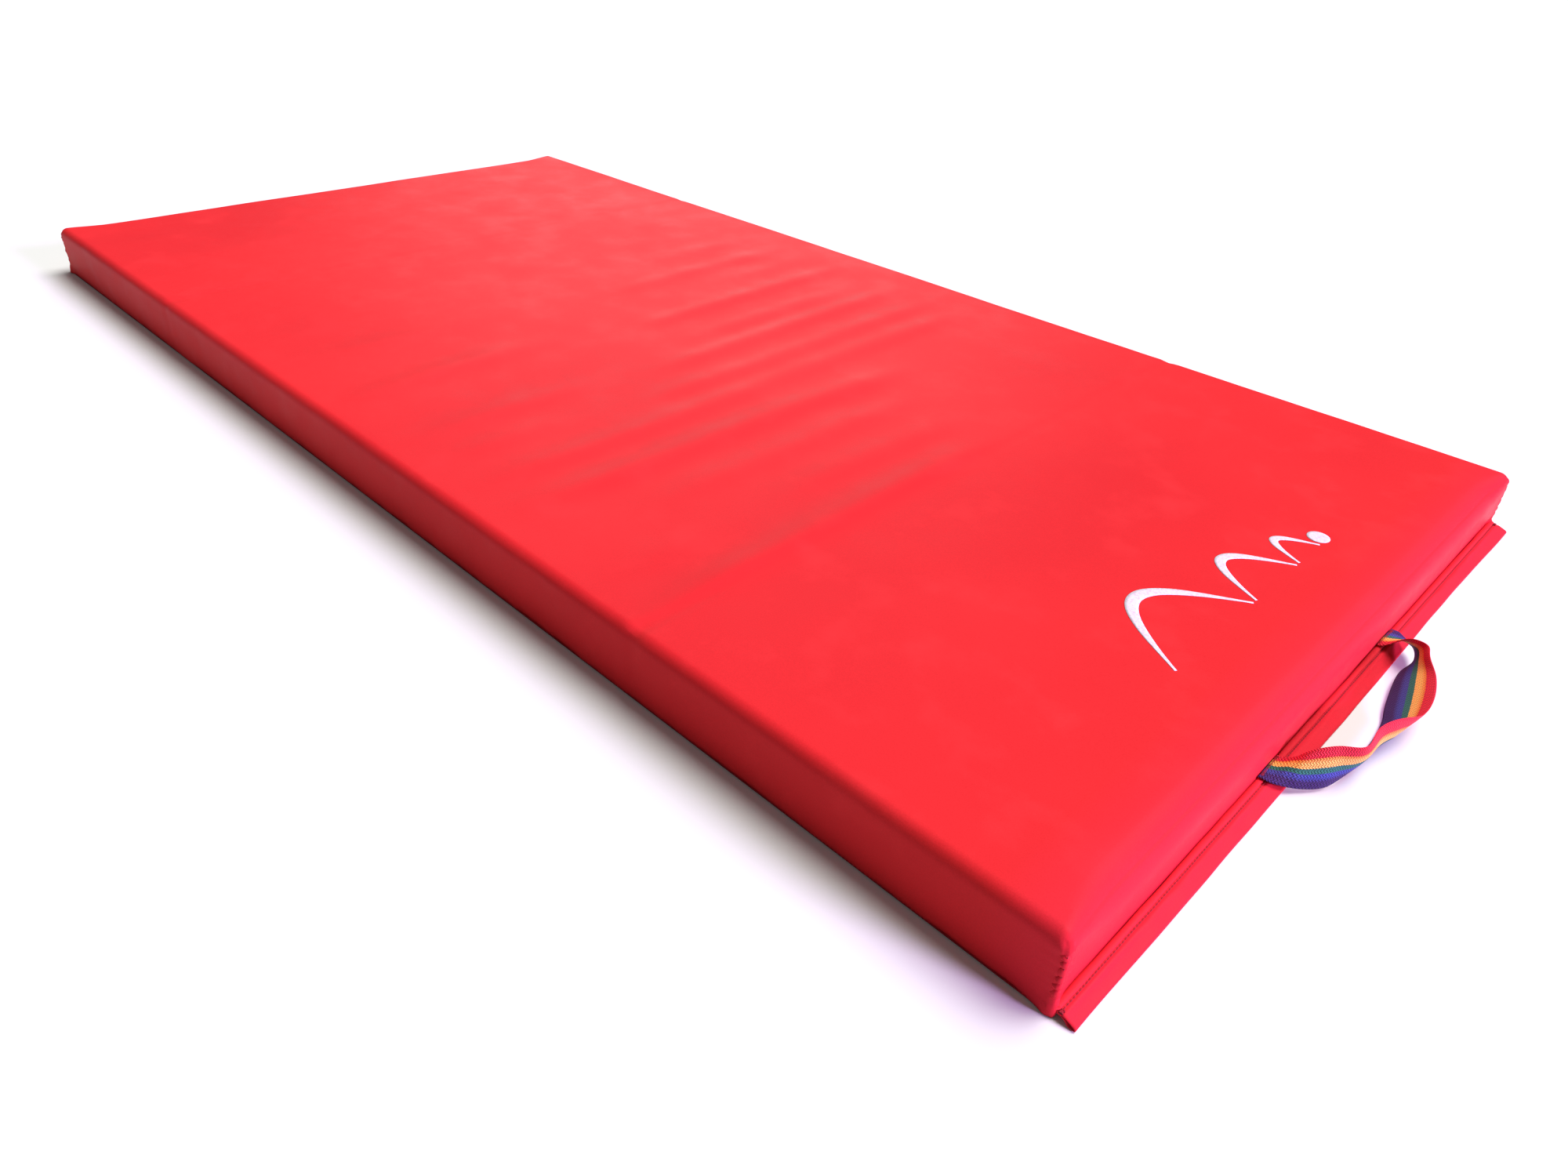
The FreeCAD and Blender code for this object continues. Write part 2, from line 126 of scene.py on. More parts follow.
# ---------------------------------------------------------------------------------------------
# Cover, top and skirts: one sheet of red vinyl-coated cloth with a fine woven scrim showing
# through, wrapped over the foam. It rolls over the edges, ripples where it is slack, keeps two
# creases from being folded in store, and draws in at its sewn corners.

MAT_LOW, MAT_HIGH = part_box("cover_top_panel")
HALF_LENGTH, HALF_WIDTH = MAT_HIGH.x, MAT_HIGH.y
SKIRT_FOOT = MAT_LOW.z
TOP = MAT_HIGH.z - 0.5 * MM
LONG_EDGE, END_EDGE, CORNER = 11 * MM, 27 * MM, 5 * MM
LIP_FOOT = 8.6 * MM            # where the cover stops over the zip
LIP_TUCK = 2.9 * MM            # how far the face above the lip stands back
LIP_PRESS = 1.1 * MM           # how far the lip itself comes forward again, on to the welt
LIP_BEND = 22 * MM
ROLL_CHANGE = 70 * MM          # over which an end's roll narrows to a long side's
SHEET = 0.8 * MM
SCRIM = 0.6 * MM
GRID_FINE, GRID_RIM = 2 * MM, 24 * MM   # the cover's fine steps, and how far in from an edge
SKIRT_ROWS = 26
GATHER, GATHER_PITCH = 0.6 * MM, 9 * MM     # puckers beside the corner seams
GROOVE = 0.8 * MM              # dip of the long side along a corner seam
WAVE = 0.35 * MM               # unrest of a skirt, at its foot and over its face
TOE = 4 * MM                   # how far the sewn corners poke out at the floor
RED = (0.62, 0.021, 0.024, 1)
END_PINK_CAST = (0.62, 0.021, 0.037, 1)   # painted cast of the cool light on the handle end: the same cloth, tinted pinker
# soft folds over the width, in mm: x at far side, x at near side, y from, y to, height, half width;
# heights and half widths count times the first two values; ends fade over the third, in metres
RIPPLE_TALL, RIPPLE_WIDE, RIPPLE_FADE = 2.2, 1.35, 0.13
RIPPLES = [
    (-238, -232, 150, 420, 0.8, 15), (-168, -150, 10, 425, 1.1, 14), (-104, -96, 170, 415, 0.6, 14),
    (-42, -22, -50, 430, 1.5, 13), (34, 46, -30, 350, 1.1, 13), (82, 106, -130, 430, 1.4, 13),
    (146, 168, -200, 420, 1.2, 13), (206, 212, -430, 410, 1.2, 14), (296, 270, -430, 190, 1.6, 15),
    (352, 346, -330, 120, 0.9, 14), (422, 414, -240, 110, 1.0, 15), (474, 484, -440, 90, 1.5, 14),
    (-196, -184, -425, -130, 0.6, 18), (-80, -56, -440, -90, 1.1, 17),
    (66, 78, -435, -140, 0.9, 15), (140, 136, -440, -230, 0.8, 13), (424, 420, -440, -260, 0.5, 14),
]
CREASES = [(-0.488, 0.55), (0.4975, 0.9)]     # x, and depth in mm


def ease(t):
    """Smooth step: 0 below 0, 1 above 1, and 3t^2 - 2t^3 between."""
    t = np.clip(t, 0, 1)
    return t * t * (3 - 2 * t)


def drift(u, v, size, seed):
    """Slow even unrest between about -1 and 1: seven sine waves of seeded heading and phase."""
    pick = np.random.default_rng(seed)
    heading = pick.uniform(0, 2 * np.pi, 7)
    pitch = size * pick.uniform(0.6, 1.7, 7)
    phase = pick.uniform(0, 2 * np.pi, 7)
    total = np.zeros(np.broadcast(u, v).shape)
    for a, p, start in zip(heading, pitch, phase):
        total = total + np.sin(2 * np.pi * (u * np.cos(a) + v * np.sin(a)) / p + start)
    return total / 3.2


def top_relief(x, y):
    """Height over the plain top: each ripple is a bell across its line, eased out at both ends;
    each crease is a narrow dip across the mat with a low swell beside it; plus slow unrest."""
    height = 0.3 * drift(x, y, 0.42, 5) + 0.08 * drift(x, y, 0.11, 8)
    for far, near, low, high, tall, wide in RIPPLES:
        share = (HALF_WIDTH - y) / (2 * HALF_WIDTH)
        line = (far + (near - far) * share) * MM + 2.5 * MM * drift(y, 0, 0.35, int(far) + 900)
        window = ease((y - low * MM) / RIPPLE_FADE) * ease((high * MM - y) / RIPPLE_FADE)
        bell = np.exp(-(((x - line) / (RIPPLE_WIDE * wide * MM)) ** 2))
        height = height + RIPPLE_TALL * tall * window * bell
    for at, deep in CREASES:
        away = x - at - 1.5 * MM * drift(y, 0, 0.3, 31)
        near_side = 0.35 + 0.65 * ease((-y - 0.15) / 0.25) + 0.3 * ease((y - 0.3) / 0.12)
        height = height - deep * near_side * np.exp(-((away / (3.5 * MM)) ** 2))
        height = height + 0.5 * deep * near_side * np.exp(-(((away + 11 * MM) / (9 * MM)) ** 2))
    return height * MM


def grid_lines(half, fine, coarse, rim):
    """Lines from -half to half: fine steps within rim of each end and coarse ones between."""
    inner = np.linspace(-(half - rim), half - rim, int(2 * (half - rim) / coarse) + 1)
    edge = np.linspace(0, rim, int(rim / fine) + 1)[:-1]
    return np.concatenate([-half + edge, inner, (half - edge)[::-1]])


def grid_faces(rows, cols, wrap_cols=False):
    """Quads of a grid of points numbered row by row; wrap joins the last column to the first."""
    last = cols if wrap_cols else cols - 1
    row, c = np.meshgrid(np.arange(rows - 1) * cols, np.arange(last), indexing="ij")
    below, beside = row + cols, (c + 1) % cols
    return np.stack([row + c, below + c, below + beside, row + beside], -1).reshape(-1, 4)


def rim_of(rows, cols):
    """Numbers of the points round the outside of a grid, in order."""
    n = np.arange(rows * cols).reshape(rows, cols)
    return np.concatenate([n[:-1, 0], n[-1, :-1], n[:0:-1, -1], n[0, :0:-1]])


def make_piece(name, points, faces, material, uv=None):
    """A smooth-shaded mesh object at the origin from points in metres and lists of faces."""
    mesh = bpy.data.meshes.new(name)
    listed = []
    for group in faces:
        listed.extend(group.tolist() if isinstance(group, np.ndarray) else group)
    mesh.from_pydata(np.asarray(points, float).reshape(-1, 3).tolist(), [], listed)
    mesh.polygons.foreach_set("use_smooth", np.ones(len(mesh.polygons), bool))
    if uv is not None:
        layer = mesh.uv_layers.new(name="UVMap")
        corner = np.zeros(len(mesh.loops), np.int32)
        mesh.loops.foreach_get("vertex_index", corner)
        layer.data.foreach_set("uv", np.asarray(uv, np.float32).reshape(-1, 2)[corner].ravel())
    mesh.update()
    mesh.materials.append(material)
    piece = bpy.data.objects.new(name, mesh)
    bpy.context.scene.collection.objects.link(piece)
    return piece


def wrap_box(low, high, xs, ys, levels):
    """Points and faces of an open-bottomed box: a top of xs by ys, and skirts of levels rows.
    Also gives, for each point, how far down its skirt it is from 0 to 1."""
    nx, ny = len(xs), len(ys)
    gx, gy = np.meshgrid(xs, ys, indexing="ij")
    top = np.stack([gx, gy, np.full_like(gx, high)], -1).reshape(-1, 3)
    loop = rim_of(nx, ny)
    down = np.linspace(0, 1, levels + 1)[1:]
    ring = top[loop]
    skirt = np.repeat(ring[None], levels, 0)
    skirt[:, :, 2] = high - (high - low) * down[:, None]
    count = len(loop)
    lower = nx * ny + np.arange(levels * count).reshape(levels, count)
    rows = np.concatenate([loop[None], lower])
    across = np.roll(rows, -1, 1)
    faces_top = grid_faces(nx, ny)
    faces_side = np.stack([rows[:-1], rows[1:], across[1:], across[:-1]], -1).reshape(-1, 4)
    depth = np.concatenate([np.zeros(nx * ny), np.repeat(down, count)])
    return np.concatenate([top, skirt.reshape(-1, 3)]), faces_top, faces_side, depth, lower[-1]


def round_box(p, half_x, half_y, top, long_edge, end_edge, corner):
    """Pulls a sharp box's points onto its rounded form: the part of each point beyond an inner box
    is taken as a share of the edge radii and set to length one, as on an ellipsoid."""
    x, y, z = p.T
    middle = ease((half_y - np.abs(y)) / ROLL_CHANGE)
    roll = long_edge + (end_edge - long_edge) * middle
    high_up = ease(1 - (top - z) / (1.6 * roll))
    inset_x = corner + (roll - corner) * high_up
    inset_y = corner + (long_edge - corner) * high_up
    inner = np.stack([np.clip(x, -half_x + inset_x, half_x - inset_x),
                      np.clip(y, -half_y + inset_y, half_y - inset_y),
                      np.minimum(z, top - roll)], -1)
    size = np.stack([inset_x, inset_y, roll], -1)
    beyond = (p - inner) / size
    reach = np.linalg.norm(beyond, axis=1)
    largest = np.abs(beyond).max(1)
    scale = np.where(reach > 1e-9, largest / np.maximum(reach, 1e-9), 1.0)
    out = beyond / np.maximum(reach, 1e-9)[:, None]
    return inner + beyond * size * scale[:, None], out


def around(x, y):
    """Distance along a skirt from the nearest upright corner."""
    return np.minimum(np.abs(HALF_LENGTH - np.abs(x)) + np.abs(HALF_WIDTH - np.abs(y)), 1.0)


def cover_shape(sharp, depth):
    """Rounded box, then everything that the cloth does: ripples on top, slight bulge of the
    skirts, the lip drawn back over the zip, gathers beside the corner seams and along the foot."""
    x, y, z = sharp.T
    at_handle = (np.abs(x - HALF_LENGTH) < 1e-6) & (depth > 0)
    rounded, out = round_box(sharp, HALF_LENGTH, HALF_WIDTH, TOP, LONG_EDGE, END_EDGE, CORNER)
    on_top = ease(out[:, 2] / 0.8 - 0.1)
    rounded[:, 2] += np.where(np.abs(out[:, :2]).max(1) < 1e-6, 1.0, on_top) * top_relief(x, y)

    side = np.where(depth > 0, 1.0, 0.0) * (1 - out[:, 2] ** 2)
    flat_out = out.copy()
    flat_out[:, 2] = 0
    share = np.clip((TOP - rounded[:, 2]) / (TOP - SKIRT_FOOT), 0, 1)
    on_end = np.abs(x) > HALF_LENGTH - 1e-6
    length = np.where(on_end, y, x)
    swell = np.sin(np.pi * share) * (0.5 + 0.25 * drift(length, 0, 0.5, 12)) * MM
    corner_gap = around(x, y)
    swell = swell * ease(corner_gap / 0.05)
    gather = GATHER * np.exp(-corner_gap / 0.010) * np.sin(
        2 * np.pi * rounded[:, 2] / GATHER_PITCH + 3 * np.sign(x * y) + 5 * drift(z, x, 0.1, 3))
    groove = -GROOVE * np.exp(-((corner_gap / (4 * MM)) ** 2)) * np.where(on_end, 0, 1)
    foot = WAVE * np.exp(-(rounded[:, 2] - SKIRT_FOOT) / 0.011) * drift(length, z, 0.028, 21)
    soft = WAVE * drift(length, 0.4 * z, 0.16, 40) * ease(share * 3) * ease(corner_gap / 0.03)
    kink, roll_dip = np.zeros_like(x), np.zeros_like(x)
    for at, deep in CREASES:
        kink -= np.where(on_end, 0, 1.5 * deep * MM * np.exp(-(((x - at) / (7 * MM)) ** 2))
                         * ease(1.2 - share))
        roll_dip += np.where(on_end, 0, 1.3 * deep * MM * np.exp(-(((x - at) / (8 * MM)) ** 2)))
    foot = foot * np.where(at_handle, 0.15, 1)
    soft = soft * np.where(at_handle, 0.3, 1)
    move = side * (swell + gather + groove + foot + soft + kink)
    toe = TOE * np.exp(-((corner_gap / 0.010) ** 2) - ((rounded[:, 2] / 0.011) ** 2))
    rounded += flat_out * (move + side * toe)[:, None]
    near_edge = ease(1 - (HALF_WIDTH - np.abs(y)) / 0.03) * (1 - share)
    rounded[:, 2] -= roll_dip * near_edge

    from_side = HALF_WIDTH - np.abs(y)
    foot_z = SKIRT_FOOT + (LIP_FOOT - SKIRT_FOOT) * ease((from_side - 1 * MM) / (6 * MM))
    raised = TOP - (TOP - foot_z) * ((TOP - rounded[:, 2]) / (TOP - SKIRT_FOOT))
    rounded[:, 2] = np.where(at_handle, raised, rounded[:, 2])
    tuck = LIP_TUCK * ease((LIP_BEND - rounded[:, 2]) / (8 * MM))
    tuck = tuck - LIP_PRESS * ease((10.6 * MM - rounded[:, 2]) / (1.2 * MM))
    rounded[:, 0] -= np.where(at_handle, tuck * ease(from_side / 0.008), 0)
    return rounded


MIX_A, MIX_B, MIX_RESULT = 6, 7, 2      # the sockets of a Mix node that mixes colours


class Finish:
    """A procedural material and short ways to add its nodes."""

    def __init__(self, name, colour, roughness, specular=0.5):
        self.material = bpy.data.materials.new(name)
        self.material.use_nodes = True
        self.tree = self.material.node_tree
        self.shader = self.tree.nodes["Principled BSDF"]
        self.shader.inputs["Base Color"].default_value = colour
        self.shader.inputs["Roughness"].default_value = roughness
        self.shader.inputs["Specular IOR Level"].default_value = specular

    def link(self, source, target):
        """Joins an output socket to an input socket, or sets the input to a plain value."""
        if isinstance(source, bpy.types.NodeSocket):
            self.tree.links.new(source, target)
        else:
            target.default_value = source

    def node(self, kind):
        """A new shader node of that kind."""
        return self.tree.nodes.new("ShaderNode" + kind)

    def paint(self, colour):
        """Gives the shader its colour."""
        self.link(colour, self.shader.inputs["Base Color"])

    def place(self, scale=(1, 1, 1), uv=False):
        """The piece's own coordinates in metres, stretched by scale."""
        where = self.node("TexCoord")
        mapping = self.node("Mapping")
        self.link(where.outputs["UV" if uv else "Object"], mapping.inputs["Vector"])
        mapping.inputs["Scale"].default_value = scale
        return mapping.outputs["Vector"]

    def noise(self, where, scale, detail=3.0, rough=0.5):
        """Fractal noise from 0 to 1."""
        node = self.node("TexNoise")
        self.link(where, node.inputs["Vector"])
        node.inputs["Scale"].default_value = scale
        node.inputs["Detail"].default_value = detail
        node.inputs["Roughness"].default_value = rough
        return node.outputs["Fac"]

    def math(self, kind, a, b=0.0, c=0.0):
        """One step of arithmetic on sockets or numbers."""
        node = self.node("Math")
        node.operation = kind
        for source, target in zip((a, b, c), node.inputs):
            self.link(source, target)
        return node.outputs[0]

    def split(self, vector):
        """The three parts of a vector."""
        node = self.node("SeparateXYZ")
        self.link(vector, node.inputs[0])
        return node.outputs

    def spread(self, value, low, high, to_low, to_high):
        """Carries low..high over to to_low..to_high, held at both ends."""
        node = self.node("MapRange")
        for key, number in (("Value", value), ("From Min", low), ("From Max", high),
                            ("To Min", to_low), ("To Max", to_high)):
            self.link(number, node.inputs[key])
        return node.outputs["Result"]

    def blend(self, share, a, b):
        """Colour a where share is 0 and b where it is 1."""
        node = self.node("Mix")
        node.data_type = "RGBA"
        self.link(share, node.inputs["Factor"])
        self.link(a, node.inputs[MIX_A])
        self.link(b, node.inputs[MIX_B])
        return node.outputs[MIX_RESULT]

    def ramp(self, value, stops):
        """A row of colours along 0..1, each from its own place on."""
        node = self.node("ValToRGB")
        self.link(value, node.inputs["Fac"])
        marks = node.color_ramp.elements
        while len(marks) < len(stops):
            marks.new(1.0)
        for mark, (place, colour) in zip(marks, stops):
            mark.position = place
            mark.color = colour
        return node.outputs["Color"]

    def dim(self, colour, share):
        """The colour times a share."""
        node = self.node("VectorMath")
        node.operation = "SCALE"
        self.link(colour, node.inputs[0])
        self.link(share, node.inputs["Scale"])
        return node.outputs[0]

    def relief(self, height, depth, strength=1.0, under=None):
        """Bump of that depth in metres on the shader."""
        node = self.node("Bump")
        self.link(height, node.inputs["Height"])
        node.inputs["Distance"].default_value = depth
        node.inputs["Strength"].default_value = strength
        if under is not None:
            self.link(under, node.inputs["Normal"])
        self.link(node.outputs["Normal"], self.shader.inputs["Normal"])
        return node.outputs["Normal"]


def coated_cloth(name, colour, deep, rough=0.42):
    """Vinyl-coated cloth: scrim threads 0.6 mm apart seen faintly through the coat, a pebbled
    grain, slow shifts of tone, dull rubbed patches, and, towards the handle end, a painted pink
    cast of the cool light there."""
    cloth = Finish(name, colour, rough, 0.5)
    cloth.shader.inputs["IOR"].default_value = 1.1
    where = cloth.place()
    x, y, z = cloth.split(cloth.place(scale=(2 * math.pi / SCRIM,) * 3))
    threads = cloth.math("ADD", cloth.math("SINE", x), cloth.math("ADD", cloth.math("SINE", y),
                                                                cloth.math("SINE", z)))
    grain = cloth.noise(where, 620, 4.0, 0.62)
    slow = cloth.noise(where, 2.6, 3.0, 0.55)
    patch = cloth.noise(where, 17, 6.0, 0.6)
    rubbed = cloth.spread(patch, 0.52, 0.74, 0.0, 1.0)
    shade = cloth.blend(cloth.spread(slow, 0.35, 0.68, 0.0, 1.0), colour, deep)
    pale = tuple(min(1, c * 1.12 + 0.012) for c in colour[:3]) + (1,)
    shade = cloth.blend(cloth.math("MULTIPLY", rubbed, 0.35), shade, pale)
    # painted cast of the cool light: over the last 60 mm before the handle end the cloth is tinted
    # pinker
    along, _, _ = cloth.split(where)
    pink_cast_share = cloth.spread(along, HALF_LENGTH - 60 * MM, HALF_LENGTH, 0.0, 0.85)
    shade = cloth.blend(pink_cast_share, shade, END_PINK_CAST)
    fleck = cloth.spread(cloth.noise(where, 900, 2.0), 0.3, 0.7, 0.94, 1.05)
    cloth.paint(cloth.dim(shade, fleck))
    cloth.link(cloth.spread(patch, 0.3, 0.75, rough - 0.05, rough + 0.11),
               cloth.shader.inputs["Roughness"])
    first = cloth.relief(threads, 0.00002, 0.16)
    cloth.relief(grain, 0.00016, 0.45, first)
    return cloth.material


cover_red = coated_cloth("cover_red_vinyl", RED, (0.56, 0.017, 0.021, 1))
cover_xs = grid_lines(HALF_LENGTH, GRID_FINE, 6.5 * MM, GRID_RIM)
cover_ys = grid_lines(HALF_WIDTH, GRID_FINE, 12 * MM, GRID_RIM)
box_points, faces_top, faces_side, skirt_depth, _ = wrap_box(
    SKIRT_FOOT, TOP, cover_xs, cover_ys, SKIRT_ROWS)
cover_points = cover_shape(box_points, skirt_depth)
cover = make_piece("cover_top", cover_points, [faces_top, faces_side], cover_red)
cloth_wall = cover.modifiers.new("thickness", "SOLIDIFY")
cloth_wall.thickness = SHEET
cloth_wall.offset = -1
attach(cover, "mat")
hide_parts("cover_top_panel")


# ---------------------------------------------------------------------------------------------
# Foam: two bonded layers that fill the cover, soft open-cell foam below and firm closed-cell
# foam on top, cut with a wire and a little rounded where the cover presses on their edges.

FOAM_LONG_EDGE, FOAM_END_EDGE, FOAM_CORNER = 10 * MM, 24 * MM, 8 * MM
FOAM_SET_BACK = 6 * MM         # room for the zip behind the lip


def foam_block(name, node, inset, crown, material):
    """A layer of foam: the layer's own box drawn in by inset, edges rounded, faces crowned by a
    half-wave each way, closed underneath."""
    low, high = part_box(node)
    half_x = (high.x - low.x) / 2 - inset
    half_y = (high.y - low.y) / 2 - inset
    middle = (high.x + low.x) / 2
    xs = grid_lines(half_x, 3 * MM, 24 * MM, 12 * MM)
    ys = grid_lines(half_y, 3 * MM, 24 * MM, 12 * MM)
    points, top, side, _, ring = wrap_box(low.z, high.z - crown, xs, ys, 10)
    shaped, out = round_box(points, half_x, half_y, high.z - crown,
                            FOAM_LONG_EDGE, FOAM_END_EDGE, FOAM_CORNER)
    x, y = points[:, 0], points[:, 1]
    swell = np.cos(np.pi * x / (2 * half_x)) * np.cos(np.pi * y / (2 * half_y))
    shaped[:, 2] += 0.2 * crown * swell * ease(out[:, 2]) + 0.15 * MM * drift(x, y, 0.2, 6)
    shaped[:, 2] = np.maximum(shaped[:, 2], low.z)
    drawn_back = FOAM_SET_BACK * ease((30 * MM - shaped[:, 2]) / (12 * MM))
    shaped[:, 0] -= np.where(shaped[:, 0] > half_x - 30 * MM, drawn_back, 0)
    shaped[:, 0] += middle
    piece = make_piece(name, shaped, [top, side, ring[None, ::-1]], material)
    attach(piece, "mat")
    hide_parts(node)
    return piece


def foam_finish(name, colour, cell):
    """Cut foam: round cells of that size as pits with painted shade inside, on a slightly yellowed
    ground.
    """
    foam = Finish(name, colour, 0.9, 0.2)
    where = foam.place()
    cells = foam.node("TexVoronoi")
    foam.link(where, cells.inputs["Vector"])
    cells.inputs["Scale"].default_value = 1 / cell
    pit = foam.spread(cells.outputs["Distance"], 0.1, 0.7, 0.0, 1.0)
    # painted shade: the inside of each pit is darkened to 0.55 of the foam's colour
    dark = tuple(c * 0.55 for c in colour[:3]) + (1,)
    aged = (colour[0], colour[1] * 0.9, colour[2] * 0.72, 1)
    ground = foam.blend(foam.spread(foam.noise(where, 6), 0.4, 0.7, 0, 0.8), colour, aged)
    foam.paint(foam.blend(pit, dark, ground))
    foam.relief(pit, cell * 0.5, 0.8)
    return foam.material


soft_foam = foam_block("foam_soft", "foam_core_soft_layer", 1.2 * MM, 0.2 * MM,
                       foam_finish("soft_open_cell_foam", (0.62, 0.60, 0.52, 1), 0.0016))
firm_foam = foam_block("foam_firm", "foam_core_firm_layer", 1.6 * MM, 2.4 * MM,
                       foam_finish("firm_closed_cell_foam", (0.16, 0.17, 0.19, 1), 0.0007))


# ---------------------------------------------------------------------------------------------
# Underside: a flat sheet of the same coated cloth, darker, with a turned hem all round where the
# skirts are sewn to it. It lies on the floor.

BASE_LOW, BASE_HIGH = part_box("cover_base_panel")
BASE_SHEET = 0.45 * MM
HEM = 12 * MM


def base_sheet():
    """A thin closed slab on a grid: the underside lifts off the floor by slow unrest, less near
    the edges, and a hem 12 mm wide lies a little lower than the rest."""
    xs = np.linspace(BASE_LOW.x, BASE_HIGH.x, 150)
    ys = np.linspace(BASE_LOW.y, BASE_HIGH.y, 76)
    gx, gy = np.meshgrid(xs, ys, indexing="ij")
    edge = np.minimum(np.minimum(gx - xs[0], xs[-1] - gx), np.minimum(gy - ys[0], ys[-1] - gy))
    lift = 0.22 * MM * ease((edge - HEM) / (4 * MM)) * (1 + 0.8 * drift(gx, gy, 0.09, 17))
    under = np.stack([gx, gy, np.maximum(lift, 0)], -1).reshape(-1, 3)
    over = under + np.array([0, 0, BASE_SHEET])
    loop = rim_of(*gx.shape)
    after = np.roll(loop, -1)
    rim = np.stack([loop, after, after + gx.size, loop + gx.size], -1)
    flat = grid_faces(*gx.shape)
    return np.concatenate([under, over]), [flat[:, ::-1], flat + gx.size, rim]


base_points, base_faces = base_sheet()
base = make_piece("cover_base", base_points, base_faces,
                  coated_cloth("cover_base_vinyl", (0.40, 0.016, 0.020, 1),
                               (0.33, 0.012, 0.016, 1), 0.5))
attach(base, "mat")
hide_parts("cover_base_panel")


# ---------------------------------------------------------------------------------------------
# Thread: bonded polyester, two strands twisted. Stitches join the skirts to the underside along
# the three closed sides; each dives into the cloth at both ends.

STITCH_PITCH = 3.8 * MM
SEAM_IN = 0.35 * MM            # the stitches' middles stand this far inside the seam's box
SEAM_HEIGHT = 1.5 * MM
SEAM_STOP = 11 * MM            # the seam stops this far before a corner


def thread_finish(name, colour):
    """Twisted thread: slanting ridges along it, with painted highlight on their crowns and painted
    shade in the grooves.
    """
    thread = Finish(name, colour, 0.6, 0.2)
    x, y, z = thread.split(thread.place(scale=(2 * math.pi / 0.0007,) * 3))
    twist = thread.math("SINE", thread.math("ADD", x, thread.math("ADD", y, z)))
    # painted highlight: the ridges' crowns blend towards a lighter copy of the thread's colour
    light = tuple(min(1, c * 1.6 + 0.01) for c in colour[:3]) + (1,)
    thread.paint(thread.blend(thread.spread(twist, -1, 1, 0, 0.6), colour, light))
    thread.relief(twist, 0.0001, 0.6)
    return thread.material


def stitches(centres, along, out, length, radius, rings=5, sides=6):
    """Short bent rods: rings of points round each stitch's line, which arches out as a half-wave
    and thins towards both ends; one block of arrays for all of them."""
    t = np.linspace(-1, 1, rings)
    arch = np.cos(t * np.pi / 2)
    thick = radius * (0.45 + 0.55 * np.sqrt(np.clip(1 - t ** 2, 0, 1)))
    turn = np.linspace(0, 2 * np.pi, sides, endpoint=False)
    across = np.cross(out, along)
    line = (centres[:, None] + along[:, None] * (t * length / 2)[None, :, None]
            + out[:, None] * ((arch - 0.75) * radius * 1.3)[None, :, None])
    ring = (np.cos(turn)[None, None, :, None] * out[:, None, None]
            + np.sin(turn)[None, None, :, None] * across[:, None, None])
    points = line[:, :, None] + ring * thick[None, :, None, None]
    one = grid_faces(rings, sides, wrap_cols=True)[:, ::-1]
    count = len(centres)
    step = np.arange(count)[:, None, None] * rings * sides
    walls = (one[None] + step).reshape(-1, 4)
    start = np.arange(sides)[None] + step[:, 0]
    end = (rings - 1) * sides + np.arange(sides)[::-1][None] + step[:, 0]
    return points.reshape(-1, 3), [walls, start, end]


def along_line(start, end, pitch):
    """Middles of equal steps from start to end, and the unit direction of the line."""
    start, end = np.array(start, float), np.array(end, float)
    reach = np.linalg.norm(end - start)
    count = int(reach / pitch)
    share = (np.arange(count) + 0.5)[:, None] / count
    return start + (end - start) * share, np.repeat(((end - start) / reach)[None], count, 0)


def base_seam():
    """Stitches on three sides, just proud of the skirts and a little above the floor."""
    low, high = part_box("base_seam_thread")
    x0, x1, y0, y1, z = low.x + SEAM_IN, high.x, low.y + SEAM_IN, high.y - SEAM_IN, SEAM_HEIGHT
    runs = [((x1, y0, z), (x0 + SEAM_STOP, y0, z), (0, -1, 0)),
            ((x0, y0 + SEAM_STOP, z), (x0, y1 - SEAM_STOP, z), (-1, 0, 0)),
            ((x0 + SEAM_STOP, y1, z), (x1, y1, z), (0, 1, 0))]
    middles, heads, outs = [], [], []
    for start, end, out in runs:
        centres, direction = along_line(start, end, STITCH_PITCH)
        middles.append(centres)
        heads.append(direction)
        outs.append(np.repeat(np.array([out], float), len(centres), 0))
    return stitches(np.concatenate(middles), np.concatenate(heads), np.concatenate(outs),
                    STITCH_PITCH * 0.9, 0.42 * MM, rings=4, sides=5)


thread_red = thread_finish("thread_dark_red", (0.27, 0.007, 0.018, 1))
seam_points, seam_faces = base_seam()
seam = make_piece("base_seam_stitches", seam_points, seam_faces, thread_red)
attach(seam, "mat")
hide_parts("base_seam_thread")


# ---------------------------------------------------------------------------------------------
# Upright corner seams: on each corner the end's skirt laps round on to the long side and is sewn
# down, and its free edge puckers into scallops. Those at the handle end start above the lip.

LOBE = 7.5 * MM                # height of one scallop
LAP_BACK = 3.5 * MM            # how far the lap starts before the corner's middle
LAP_PLY = 1.1 * MM
LAP_ROWS, LAP_COLS = 150, 12
WELT_ROOM = 1.4 * MM           # the lap's set-back, low down, for the welt to swing past
CORNER_FOOT = {-1: 3 * MM, 1: 11 * MM}  # height of the lap's lower end, by end of the mat
UPWARD = np.array([[0.0, 0.0, 1.0]])


def strip_faces(rows, cols):
    """Faces of a folded or flat strip, its outline out and back in cols points and carried over
    rows; each end is closed by quads across the strip."""
    i = np.arange(cols // 2 - 1)
    cap = np.stack([i, i + 1, cols - 2 - i, cols - 1 - i], -1)
    return [grid_faces(rows, cols, wrap_cols=True), cap, cap[:, ::-1] + (rows - 1) * cols]


